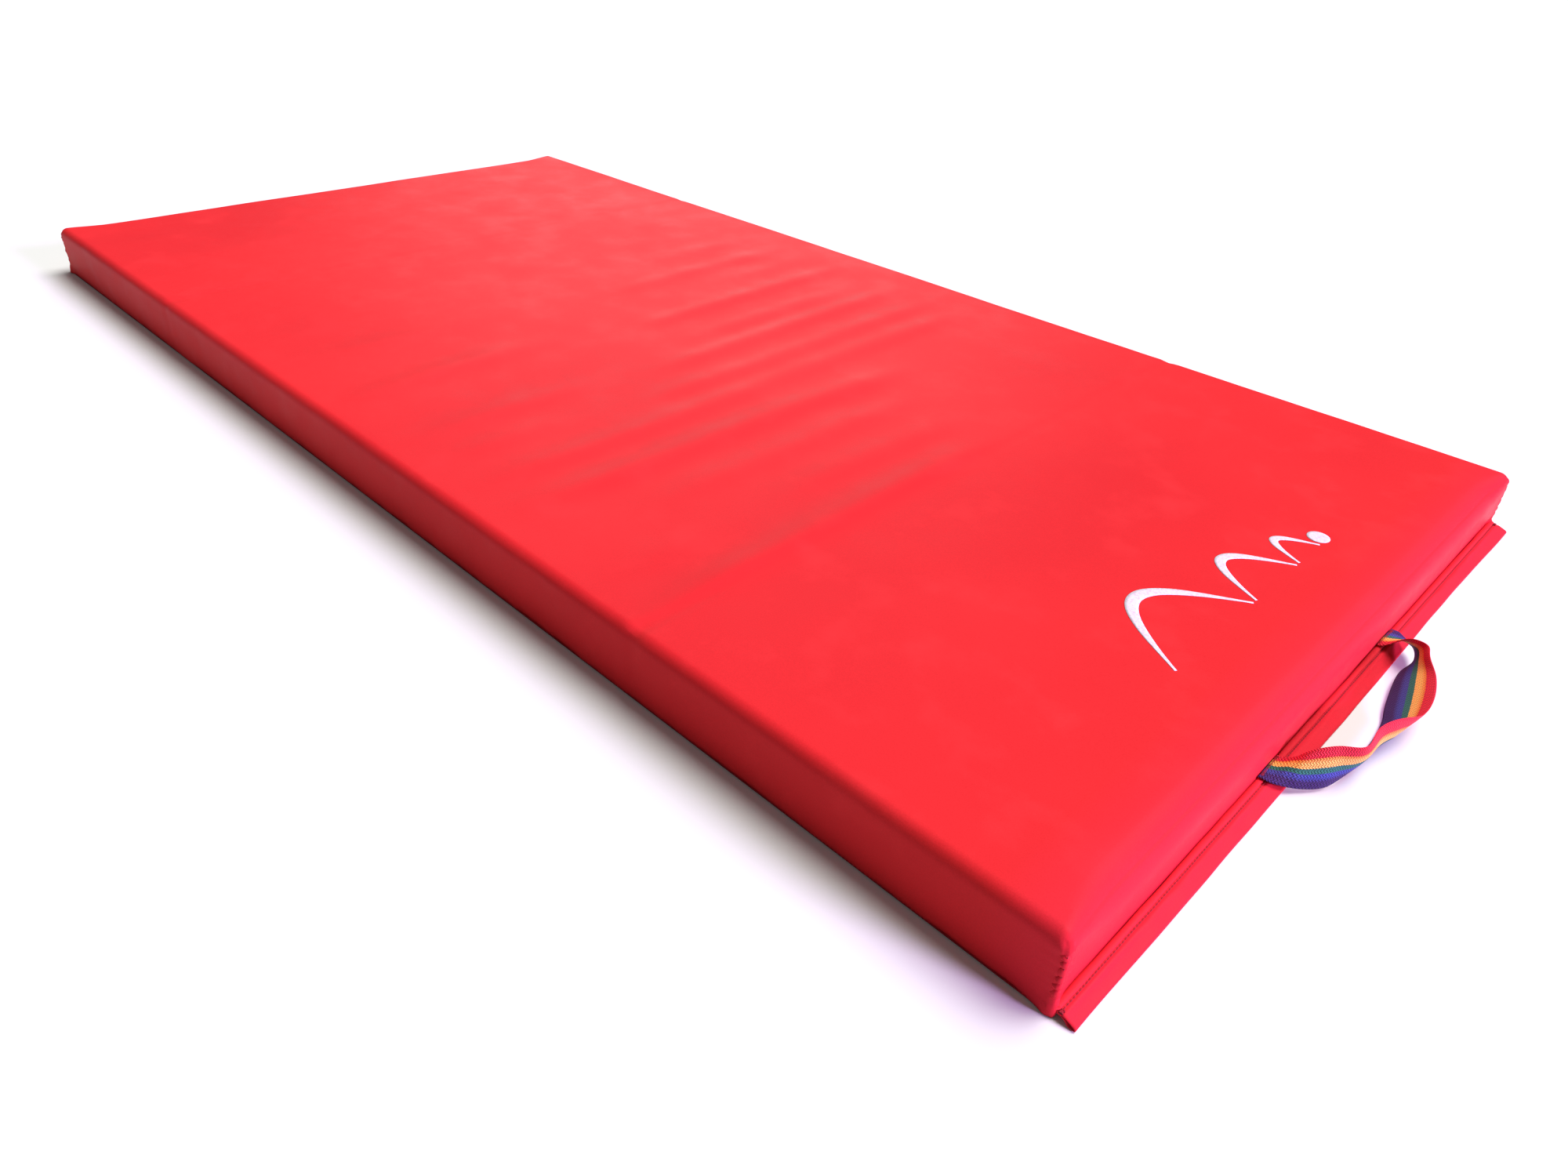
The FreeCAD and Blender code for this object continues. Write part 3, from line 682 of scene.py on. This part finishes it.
def corner_lap(x_side, y_side, low, high):
    """The lap: the end's skirt folded round the corner on to the long side and sewn down. Its free
    edge runs in scallops between the stitches, |sin| of the height, and each scallop is puffed.
    Columns run from the end face round to the free edge, rows up the corner; closed all round."""
    z = np.linspace(low, high, LAP_ROWS)
    share = np.linspace(0, 1, LAP_COLS)
    wander = 0.45 * drift(z, 0, 0.03, 50 + x_side + 3 * y_side)
    lobe = np.abs(np.sin(np.pi * (z / LOBE + wander)))
    size = 0.85 + 0.5 * drift(z, 0, 0.021, 60 + x_side + 3 * y_side)
    top_turn = ease((z - (high - 14 * MM)) / (16 * MM))
    free = (0.9 + 3.4 * lobe ** 0.7 * size) * MM * (1 - 0.4 * top_turn)
    along = -LAP_BACK + (free + LAP_BACK)[:, None] * share[None]
    puff = (0.6 + 1.3 * lobe * size) * (1 - 0.8 * top_turn)
    bulge = puff[:, None] * MM * np.sin(np.pi * share)[None] ** 0.8
    arc = CORNER * np.pi / 2
    turn = np.clip((along + arc / 2) / arc, 0, 1) * np.pi / 2
    past = np.maximum(along - arc / 2, 0)
    before = np.minimum(along + arc / 2, 0)
    reach = CORNER - 0.35 * MM + bulge
    lean = 4.6 * MM * top_turn[:, None]
    x = HALF_LENGTH - CORNER + reach * np.cos(turn) - past - lean
    y = HALF_WIDTH - CORNER + reach * np.sin(turn) + before - 0.6 * lean
    if x_side > 0:
        x = x - WELT_ROOM * ease((17 * MM - z) / (3 * MM))[:, None]
    outer = np.stack([x_side * x, y_side * y, np.repeat(z[:, None], LAP_COLS, 1)], -1)
    facing = np.stack([x_side * np.cos(turn), y_side * np.sin(turn), 0 * turn], -1)
    ring = np.concatenate([outer, (outer - facing * LAP_PLY)[:, ::-1]], 1)
    faces = strip_faces(LAP_ROWS, 2 * LAP_COLS)
    return ring, faces if x_side * y_side > 0 else [group[:, ::-1] for group in faces]


for x_side, end_name in ((-1, "plain_end"), (1, "handle_end")):
    for y_side, side_name in ((-1, "near"), (1, "far")):
        foot = CORNER_FOOT[x_side]
        points, faces = corner_lap(x_side, y_side, foot, TOP - 5 * MM)
        lap = make_piece(f"corner_{end_name}_{side_name}", points, faces, cover_red)
        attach(lap, "mat")
        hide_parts(f"corner_seam_{end_name}_{side_name}")
        out = np.array([[x_side, y_side, 0.0]]) / math.sqrt(2)
        heights = np.arange(foot + 3 * MM, TOP - 13 * MM, STITCH_PITCH)
        spot = np.array([x_side * (HALF_LENGTH - CORNER), y_side * (HALF_WIDTH - CORNER), 0.0])
        picks = spot + out * (CORNER + 0.3 * MM) + heights[:, None] * UPWARD
        points, faces = stitches(picks, UPWARD, out, 2.9 * MM, 0.3 * MM, 5, 5)
        thread = make_piece(f"corner_{end_name}_{side_name}_stitches", points, faces, thread_red)
        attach(thread, "mat")


# ---------------------------------------------------------------------------------------------
# Welt and flap over the zip: the cover's edge is turned into a rounded welt, and one strip of
# cover cloth folded double is sewn under it. The fold lies outward, open at both ends.

WELT_LOW, WELT_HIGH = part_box("end_welt")
FLAP_LOW, FLAP_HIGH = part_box("closure_flap")
PLY = 0.7 * MM
# the flap's line in section, x out from the mat's end and height, in mm: over, round and back
FLAP_LINE = [(0.6, 6.25), (2.6, 6.3), (4.3, 5.95), (6.2, 6.25), (9, 5.35), (12.5, 3.9),
             (15.6, 2.75), (17.0, 1.9), (17.15, 1.05), (16.2, 0.42), (14.2, 0.36),
             (12.4, 0.6), (10.2, 2.0),
             (8.0, 3.9), (6.2, 5.0), (4.3, 5.3), (2.6, 5.35), (0.6, 5.4)]


def smooth_through(knots, count):
    """A natural cubic through the knots, by the length of the steps between them: the second
    slopes solve one band of linear equations."""
    knots = np.asarray(knots, float)
    n = len(knots)
    flat = knots.reshape(n, -1)
    gap = np.linalg.norm(np.diff(flat, axis=0), axis=1)
    at = np.concatenate([[0], np.cumsum(gap)])
    band = np.zeros((n, n))
    right = np.zeros_like(flat)
    band[0, 0] = band[-1, -1] = 1
    inner = np.arange(1, n - 1)
    band[inner, inner - 1] = gap[:-1]
    band[inner, inner] = 2 * (gap[:-1] + gap[1:])
    band[inner, inner + 1] = gap[1:]
    rise = np.diff(flat, axis=0) / gap[:, None]
    right[1:-1] = 6 * np.diff(rise, axis=0)
    bend = np.linalg.solve(band, right)
    t = np.linspace(0, at[-1], count)
    i = np.clip(np.searchsorted(at, t) - 1, 0, n - 2)
    a, b, h = (at[i + 1] - t)[:, None], (t - at[i])[:, None], gap[i][:, None]
    value = (bend[i] * a ** 3 + bend[i + 1] * b ** 3) / (6 * h)
    value = value + (flat[i] / h - bend[i] * h / 6) * a
    value = value + (flat[i + 1] / h - bend[i + 1] * h / 6) * b
    return value.reshape((count,) + knots.shape[1:])


def unit(vectors):
    """Each vector over its own length."""
    return vectors / np.linalg.norm(vectors, axis=-1, keepdims=True)


def strip_outline(line, thick):
    """The closed outline of a strip in section: the line moved half its thickness to each side."""
    head = unit(np.gradient(line, axis=0))
    normal = np.stack([-head[:, 1], head[:, 0]], -1)
    return line + normal * thick / 2, line - normal * thick / 2


def flap_sheet():
    """The strip's outline carried along the end; its outer part waves in and out, sags a little
    between and frays open towards its two ends."""
    over, under = strip_outline(smooth_through(FLAP_LINE, 46) * MM, PLY)
    outline = np.concatenate([over, under[::-1]])
    ys = np.linspace(FLAP_LOW.y, FLAP_HIGH.y, 300)
    x, z = outline[None, :, 0], outline[None, :, 1]
    out = ease((x - 5 * MM) / (10 * MM))
    bow = 0.7 * MM * drift(ys, 0, 0.45, 71) + 0.15 * MM * drift(ys, 0, 0.07, 72)
    bow = bow + 1.6 * MM * ease((ys - 0.2) / 0.25) - 1.2 * MM * ease((-ys - 0.3) / 0.15)
    x = x + out * bow[:, None]
    puff = 0.5 * MM * drift(ys, 0, 0.055, 73) + 0.5 * MM * drift(ys, 0, 0.2, 74)
    rise = ease((z - 1.2 * MM) / (2.5 * MM)) * ease((x - 6 * MM) / (4 * MM))
    z = z + rise * np.clip(puff, -0.7 * MM, 0.9 * MM)[:, None]
    gap = np.exp(-(FLAP_HIGH.y - np.abs(ys)) / (6 * MM))[:, None]
    z = z + 0.9 * MM * gap * rise
    z = np.maximum(z, 0.05 * MM)
    points = np.stack(np.broadcast_arrays(x + HALF_LENGTH, ys[:, None], z), -1)
    return points, strip_faces(*points.shape[:2])


flap_points, flap_faces = flap_sheet()
# the flap's cloth is a pinker copy of the cover's red: painted cast of the cool light before the
# handle end
flap_pink_cast_cloth = coated_cloth("flap_vinyl_pink_cast", (0.62, 0.018, 0.036, 1), (0.56, 0.011, 0.028, 1), 0.4)
flap = make_piece("zip_flap", flap_points, flap_faces, flap_pink_cast_cloth)
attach(flap, "flap")
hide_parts("closure_flap")


def roll_faces(points, flip=False):
    """Faces of a closed outline carried along a line, both ends capped; flip turns them over."""
    rows, cols = points.shape[:2]
    cap = np.arange(cols)[None]
    faces = [grid_faces(rows, cols, wrap_cols=True), cap[:, ::-1], cap + (rows - 1) * cols]
    return [group[:, ::-1] for group in faces] if flip else faces


def welt_roll():
    """A flattened roll: a rounded outline carried along the end, pinched a little at each stitch
    and drawn down by slow unrest; ends closed."""
    ys = np.linspace(WELT_LOW.y, WELT_HIGH.y, 480)
    turn = np.linspace(0, 2 * np.pi, 20, endpoint=False)
    middle_x, middle_z = (WELT_LOW.x + WELT_HIGH.x) / 2, (WELT_LOW.z + WELT_HIGH.z) / 2
    half_x, half_z = (WELT_HIGH.x - WELT_LOW.x) / 2, (WELT_HIGH.z - WELT_LOW.z) / 2
    c, s = np.cos(turn), np.sin(turn)
    x = middle_x + half_x * np.sign(c) * np.abs(c) ** 0.8
    z = middle_z + half_z * np.sign(s) * np.abs(s) ** 0.8
    fat = 1 + 0.05 * np.sin(2 * np.pi * ys / STITCH_PITCH) + 0.07 * drift(ys, 0, 0.03, 61)
    fat = fat + 0.05 * drift(ys, 0, 0.2, 62)
    short = 1 - np.clip((WELT_HIGH.y - np.abs(ys)) / (2 * MM), 0, 1)
    fat = (fat * np.sqrt(np.clip(1 - short ** 2, 0.1, 1)))[:, None]
    grown = np.stack(np.broadcast_arrays(
        middle_x + (x - middle_x)[None] * fat, ys[:, None],
        WELT_LOW.z + (z - WELT_LOW.z)[None] * np.minimum(fat, 1.12)), -1)
    return grown, roll_faces(grown)


welt_points, welt_faces = welt_roll()
welt = make_piece("welt", welt_points, welt_faces, cover_red)
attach(welt, "flap")
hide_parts("end_welt")

TOPSTITCH_X, TOPSTITCH_Z = HALF_LENGTH + 4.3 * MM, 6.85 * MM
TOPSTITCH_HALF = 0.452         # half the row's length
centres, heads = along_line((TOPSTITCH_X, -TOPSTITCH_HALF, TOPSTITCH_Z),
                            (TOPSTITCH_X, TOPSTITCH_HALF, TOPSTITCH_Z), STITCH_PITCH)
centres[:, 0] += 0.15 * MM * drift(centres[:, 1], 0, 0.05, 77)
outs = unit(np.array([[0.15, 0, 1.0]]))
points, faces = stitches(centres, heads, outs, STITCH_PITCH * 0.86, 0.46 * MM, 5, 6)
topstitch = make_piece("flap_stitches", points, faces, thread_red)
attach(topstitch, "flap")
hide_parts("flap_topstitch")


def tube(path, radius):
    """A closed tube along a path that lies flat: rings square to the path's own direction."""
    head = unit(np.gradient(path, axis=0))
    side = unit(np.cross(head, UPWARD))
    up = np.cross(side, head)
    turn = np.linspace(0, 2 * np.pi, 6, endpoint=False)[None, :, None]
    points = path[:, None] + (np.cos(turn) * side[:, None] + np.sin(turn) * up[:, None]) * radius
    return points, roll_faces(points, flip=True)


TACK_STEPS = 34
for side_name, y_side in (("near", -1), ("far", 1)):
    low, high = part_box(f"flap_back_tack_{side_name}")
    steps = np.arange(TACK_STEPS)
    sway = 0.5 + 0.5 * np.sin(steps * 0.55)
    knots = np.stack([low.x + (high.x - low.x) * (steps % 2) + 0.4 * MM * np.sin(steps * 2.1),
                      low.y + (high.y - low.y) * sway + y_side * 0.4 * MM,
                      (low.z + high.z) / 2 + 0.5 * MM * np.sin(steps * 1.3)], -1)
    points, faces = tube(smooth_through(knots, 260), 0.33 * MM)
    tack = make_piece(f"flap_tack_{side_name}", points, faces, thread_red)
    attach(tack, "flap")
    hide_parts(f"flap_back_tack_{side_name}")


# ---------------------------------------------------------------------------------------------
# Zip under the flap: two woven tapes, two coils of nylon that mesh, metal stops, and a slider
# with its pull tab.

def tape_weave(name, colour):
    """Woven tape: fine ribs along and across, with painted shade in the hollows between them."""
    tape = Finish(name, colour, 0.75, 0.3)
    x, y, z = tape.split(tape.place(scale=(2 * math.pi / 0.0006,) * 3))
    ribs = tape.math("ADD", tape.math("SINE", y), tape.math("SINE", z))
    # painted shade: the low parts of the ribs are darkened to 0.45 of the tape's colour
    dark = tuple(c * 0.45 for c in colour[:3]) + (1,)
    tape.paint(tape.blend(tape.spread(ribs, -1.6, 0.8, 0, 1), dark, colour))
    tape.relief(ribs, 0.00012, 0.7)
    return tape.material


def woven_strip(node, bead):
    """A flat tape standing on edge: its box's outline rounded, with a corded bead on one long
    edge, carried along the zip."""
    low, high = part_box(node)
    ys = np.linspace(low.y, high.y, 120)
    t = np.linspace(0, 2 * np.pi, 24, endpoint=False)
    c, s = np.cos(t), np.sin(t)
    tall = (high.z - low.z) / 2
    z = (low.z + high.z) / 2 + tall * np.sign(s) * np.abs(s) ** 0.35
    wide = (high.x - low.x) / 2 * (0.8 + 0.2 * np.exp(-((z - bead) / (0.8 * MM)) ** 2))
    x = (low.x + high.x) / 2 + wide * np.sign(c) * np.abs(c) ** 0.5
    wave = 0.08 * MM * drift(ys, 0, 0.05, 91)
    points = np.stack(np.broadcast_arrays(x[None] + wave[:, None], ys[:, None], z[None]), -1)
    return points, roll_faces(points)


COIL_MESH = 0.2 * MM           # how far each coil reaches in towards the other
COIL_PITCH, COIL_WIRE = 1.5 * MM, 0.30 * MM


def coil(node, phase):
    """Nylon monofilament wound as a flattened spring along the zip: eight corners a turn and four
    sides to the filament."""
    low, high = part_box(node)
    if node.endswith("upper"):
        low.z -= COIL_MESH
    else:
        high.z += COIL_MESH
    turns = int((high.y - low.y) / COIL_PITCH)
    t = np.linspace(0, turns, turns * 8 + 1)
    angle = 2 * np.pi * t + phase
    path = np.stack([(low.x + high.x) / 2 + ((high.x - low.x) / 2 - COIL_WIRE) * np.cos(angle),
                     low.y + COIL_WIRE + (high.y - low.y - 2 * COIL_WIRE) * t / turns,
                     (low.z + high.z) / 2 + ((high.z - low.z) / 2 - COIL_WIRE) * np.sin(angle)], -1)
    head = unit(np.gradient(path, axis=0))
    side = unit(np.cross(head, np.array([0.0, 1.0, 0.0])))
    up = np.cross(side, head)
    turn = (np.linspace(0, 2 * np.pi, 4, endpoint=False) + np.pi / 4)[None, :, None]
    points = path[:, None] + COIL_WIRE * (np.cos(turn) * side[:, None] + np.sin(turn) * up[:, None])
    return points, roll_faces(points, flip=True)


tape_red = tape_weave("zip_tape_weave", (0.40, 0.014, 0.020, 1))
nylon = Finish("zip_coil_nylon", (0.36, 0.014, 0.020, 1), 0.28, 0.5)
nylon_wear = nylon.noise(nylon.place(), 160, 3)
nylon.link(nylon.spread(nylon_wear, 0.3, 0.7, 0.2, 0.4), nylon.shader.inputs["Roughness"])
nylon.paint(nylon.blend(nylon_wear, (0.30, 0.010, 0.015, 1), (0.42, 0.018, 0.024, 1)))
for which, phase in (("upper", 0.0), ("lower", math.pi)):
    tape_low, tape_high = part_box(f"zip_tape_{which}")
    bead = tape_low.z + 0.6 * MM if which == "upper" else tape_high.z - 0.3 * MM
    points, faces = woven_strip(f"zip_tape_{which}", bead)
    tape = make_piece(f"tape_{which}", points, faces, tape_red)
    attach(tape, "mat")
    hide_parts(f"zip_tape_{which}")
    points, faces = coil(f"zip_coil_{which}", phase)
    wound = make_piece(f"coil_{which}", points, faces, nylon.material)
    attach(wound, "mat")
    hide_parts(f"zip_coil_{which}")

metal = Finish("zip_nickel", (0.55, 0.54, 0.52, 1), 0.3, 0.5)
metal.shader.inputs["Metallic"].default_value = 1.0
scratch = metal.noise(metal.place(scale=(1, 0.12, 1)), 1400, 5, 0.7)
metal.link(metal.spread(scratch, 0.35, 0.7, 0.2, 0.46), metal.shader.inputs["Roughness"])
tarnish = metal.spread(metal.noise(metal.place(), 500), 0.45, 0.7, 0, 1)
metal.paint(metal.blend(tarnish, (0.58, 0.57, 0.55, 1), (0.40, 0.38, 0.35, 1)))
metal.relief(scratch, 0.00003, 0.5)
for node in ("zip_stop_near", "zip_stop_far", "zip_slider", "zip_pull"):
    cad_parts[node].data.materials.clear()
    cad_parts[node].data.materials.append(metal.material)


# ---------------------------------------------------------------------------------------------
# Carrying handle: 38 mm polypropylene webbing in a coarse herringbone weave, striped red, orange,
# green and violet along its length. Both ends are sewn in above the welt with a bar tack; the
# loop stands on its violet edge, leans in, curls and leans out again.

WEBBING = 1.5 * MM
WEBBING_WIDTH = 38.0           # in mm, and counted out in ribs across the band
STATIONS, LINES = 220, 25      # steps along the band and across it
RIB, PICK = 2.4, 1.1           # pitch of the slanting ribs and of the picks between them, in mm
# lower (violet) edge, upper (red) edge, and curl, in mm from the middle of the mat's end
WEBBING_WAY = [
    ((-1.2, -160, 10.9), (-1.2, -123, 10.9), 0), ((2, -160, 11.3), (2, -123.5, 11.6), 0),
    ((7, -158.5, 10.3), (7.5, -124, 15), 1), ((13, -154, 8.3), (12.5, -124.5, 20), 3),
    ((21, -146, 5.5), (16.5, -125, 26.5), 4), ((30, -135.5, 3.5), (22.5, -121, 32.5), 3),
    ((37.5, -125, 3), (29.5, -115, 36), 2.5), ((42, -111, 2.5), (37, -108, 37.5), 2.5),
    ((45, -86, 2.5), (50, -96.5, 38), 3.5), ((45, -52, 3), (49.5, -66, 38), 6.5),
    ((44.5, -30, 3), (55, -42, 37.5), 8.5), ((43, -13, 3), (61.5, -26, 35), 8),
    ((41, 0, 3), (66.5, -11, 31), 6), ((37.5, 13, 4), (68, 9, 27), 3),
    ((32.5, 38, 5), (65, 36, 27), 0), ((29, 60, 6), (60, 53, 28.5), -1),
    ((28, 87, 5.5), (52.5, 68, 30.5), -1.5), ((31, 105, 6), (43, 83, 33.5), -2),
    ((28, 117, 8.5), (38, 95, 34), -3), ((22.5, 126, 9.5), (29.5, 101, 32), -3),
    ((15, 132, 10), (20.5, 104, 28), -3), ((8, 136, 11), (11.5, 105, 19), -2),
    ((3.5, 137, 11.3), (3.5, 100, 12.5), 0), ((-1.2, 137, 10.9), (-1.2, 99, 10.9), 0)]


def run_length(points):
    """Length from the first point to each along the line through them."""
    return np.concatenate([[0], np.cumsum(np.linalg.norm(np.diff(points, axis=0), axis=1))])


def webbing_band():
    """A band between two smooth edges: straight across plus a curl, a parabola square to the
    chord; given its thickness along the surface's own normal, thinner at the woven edges."""
    lower = np.array([station[0] for station in WEBBING_WAY], float)
    upper = np.array([station[1] for station in WEBBING_WAY], float)
    curl = np.array([station[2] for station in WEBBING_WAY], float)
    packed = np.concatenate([lower, upper], 1)
    line = smooth_through(packed, STATIONS)
    steps = run_length(packed)
    bend = np.interp(np.linspace(0, steps[-1], STATIONS), steps, curl)
    low, high = line[:, :3] * MM, line[:, 3:] * MM
    middle = (low + high) / 2
    outward = unit(np.cross(unit(np.gradient(middle, axis=0)), high - low))
    v = np.linspace(0, 1, LINES)
    surface = (low[:, None] * (1 - v)[None, :, None] + high[:, None] * v[None, :, None]
               + outward[:, None] * (bend[:, None] * MM * (4 * v * (1 - v))[None])[:, :, None])
    normal = unit(np.cross(np.gradient(surface, axis=0), np.gradient(surface, axis=1)))
    edge = np.sqrt(np.clip(1 - np.abs(2 * v - 1) ** 9, 0.05, 1))
    half = WEBBING / 2 * edge[None, :, None]
    ring = np.concatenate([surface + normal * half, (surface - normal * half)[:, ::-1]], 1)
    ring[:, :, 0] += HALF_LENGTH
    ring[:, :, 2] = np.maximum(ring[:, :, 2], 0.1 * MM)
    uv = np.stack(np.broadcast_arrays(run_length(middle)[:, None],
                                      np.concatenate([v, v[::-1]])[None]), -1)
    return ring, roll_faces(ring, flip=True), uv


def webbing_finish():
    """Striped webbing: colours across its width; a herringbone of slanting ribs that turn back
    every few millimetres, each rib's crown painted lighter and the hollows between painted darker,
    as highlight and shade."""
    band = Finish("webbing_striped", (0.5, 0.5, 0.5, 1), 0.6, 0.25)
    u, v, _ = band.split(band.place(uv=True))
    violet, blue, green = (0.042, 0.014, 0.12, 1), (0.052, 0.060, 0.34, 1), (0.026, 0.17, 0.14, 1)
    yellow, orange, red = (1.0, 0.50, 0.13, 1), (0.90, 0.24, 0.04, 1), (0.80, 0.014, 0.045, 1)
    stray = band.noise(band.place(scale=(600, 30, 1), uv=True), 1.0, 1.0)
    edge = band.math("ADD", v, band.math("MULTIPLY", band.math("SUBTRACT", stray, 0.5), 0.035))
    shade = band.ramp(edge, [(0.0, violet), (0.20, violet), (0.30, blue), (0.395, blue),
                             (0.41, green), (0.535, green), (0.55, yellow), (0.66, yellow),
                             (0.76, orange), (0.785, red), (1.0, red)])
    zigzag = band.math("PINGPONG", band.math("MULTIPLY", v, WEBBING_WIDTH), 2.0)
    slope = band.math("ADD", band.math("MULTIPLY", u, 1 / MM), band.math("MULTIPLY", zigzag, 0.9))
    rib = band.math("SINE", band.math("MULTIPLY", slope, 2 * math.pi / RIB))
    picks = band.math("SINE", band.math("MULTIPLY", v, 2 * math.pi * WEBBING_WIDTH / PICK))
    weave = band.math("ADD", band.math("MULTIPLY", rib, 0.65), band.math("MULTIPLY", picks, 0.35))
    fibre = band.noise(band.place(scale=(900, 60, 1), uv=True), 4.0, 3.0)
    height = band.math("ADD", weave, band.math("MULTIPLY", fibre, 0.5))
    # painted highlight and shade: the weave's height scales the stripes' colour from 0.38 in the
    # hollows to 1.38 on the crowns
    dark = band.spread(height, -0.75, 0.85, 0.38, 1.38)
    band.paint(band.dim(shade, dark))
    band.relief(height, 0.0006, 0.8)
    return band.material


band_points, band_faces, band_uv = webbing_band()
webbing = make_piece("webbing_handle", band_points, band_faces, webbing_finish(), band_uv)
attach(webbing, "handle")
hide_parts("handle_webbing")
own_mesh(webbing)

BAR_STEPS = 44
for side_name in ("near", "far"):
    low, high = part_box(f"handle_bar_tack_{side_name}")
    steps = np.arange(BAR_STEPS)
    wide = high.x - low.x + 1.6 * MM
    knots = np.stack([(low.x + high.x) / 2 + wide * (steps % 2 - 0.5),
                      low.y + (high.y - low.y) * steps / (BAR_STEPS - 1),
                      np.full(BAR_STEPS, high.z - 0.25 * MM)], -1)
    points, faces = tube(smooth_through(knots, BAR_STEPS * 7), 0.3 * MM)
    tack = make_piece(f"handle_tack_{side_name}", points, faces, thread_red)
    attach(tack, "handle")
    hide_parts(f"handle_bar_tack_{side_name}")


# ---------------------------------------------------------------------------------------------
# Printed mark near the handle end: pale ink screened on the top, three brush strokes that bounce
# along the end and a dot where they stop.

MARK_HOPS = [150, 94, 54]      # width of each bounce, in mm
MARK_GAP = 6                   # left clear between two bounces, in mm
MARK_BACK = HALF_LENGTH - 121 * MM
MARK_SWING = 46 * MM
MARK_DOT = 11 * MM
INK_LIFT, INK_FILM = 0.22 * MM, 0.1 * MM


def on_cover(flat):
    """Lays flat points on the cover: each takes the top's height there and stands off it."""
    z = TOP + top_relief(flat[..., 0], flat[..., 1]) + INK_LIFT
    return np.concatenate([flat, z[..., None]], -1)


def stroke(start, width):
    """One bounce: a half-wave line whose brush swells in the middle, cut across in steps."""
    t = np.linspace(0, 1, 60)
    share = width / (MARK_HOPS[0] * MM)
    tall = MARK_SWING * 1.7 * share ** 0.7
    x = MARK_BACK + MARK_SWING * 0.75 - tall * np.sin(np.pi * t)
    y = start + width * t
    slope_x, slope_y = -tall * np.pi * np.cos(np.pi * t), np.full_like(t, width)
    reach = np.hypot(slope_x, slope_y)
    half = (1.2 + 5.5 * np.sin(np.pi * t) ** 1.5 * share ** 0.5) * MM
    side = np.stack([-slope_y / reach, slope_x / reach], -1)
    across = np.linspace(-1, 1, 5)
    rough = 1 + 0.04 * drift(t * 0.1, 0, 0.02, int(start * 1e4) % 97)
    line = np.stack([x, y], -1)
    flat = line[:, None] + side[:, None] * across[None, :, None] * (half * rough)[:, None, None]
    return on_cover(flat), grid_faces(len(t), len(across))


def dot(centre_x, centre_y, radius):
    """A disc in rings from its middle."""
    rings, spokes = 5, 36
    r = np.linspace(0.02, 1, rings) * radius
    a = np.linspace(0, 2 * np.pi, spokes, endpoint=False)
    flat = np.stack([centre_x + np.outer(r, np.cos(a)), centre_y + np.outer(r, np.sin(a))], -1)
    return on_cover(flat), grid_faces(rings, spokes, wrap_cols=True), np.arange(spokes)[None]


ink = Finish("ink_pale", (0.66, 0.60, 0.72, 1), 0.5, 0.4)
ink_where = ink.place()
ink_cover = ink.spread(ink.noise(ink_where, 420, 5, 0.7), 0.34, 0.52, 0.0, 1.0)
ink.paint(ink.blend(ink_cover, (0.56, 0.36, 0.46, 1), (0.66, 0.60, 0.72, 1)))
ink.relief(ink.noise(ink_where, 700, 4), 0.0001, 0.5)
all_points, all_faces, first = [], [], 0
start = -18 * MM - sum(MARK_HOPS) * MM / 2
for hop in MARK_HOPS:
    points, faces = stroke(start + MARK_GAP / 2 * MM, (hop - MARK_GAP) * MM)
    all_points.append(points.reshape(-1, 3))
    all_faces.append(faces + first)
    first += points.size // 3
    start += hop * MM
points, faces, hub = dot(MARK_BACK + MARK_SWING * 0.6, start + MARK_DOT, MARK_DOT)
all_points.append(points.reshape(-1, 3))
all_faces += [faces + first, hub + first]
mark = make_piece("printed_mark_ink", np.concatenate(all_points), all_faces, ink.material)
ink_film = mark.modifiers.new("film", "SOLIDIFY")
ink_film.thickness = INK_FILM
ink_film.offset = -1
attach(mark, "mat")
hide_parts("printed_mark")
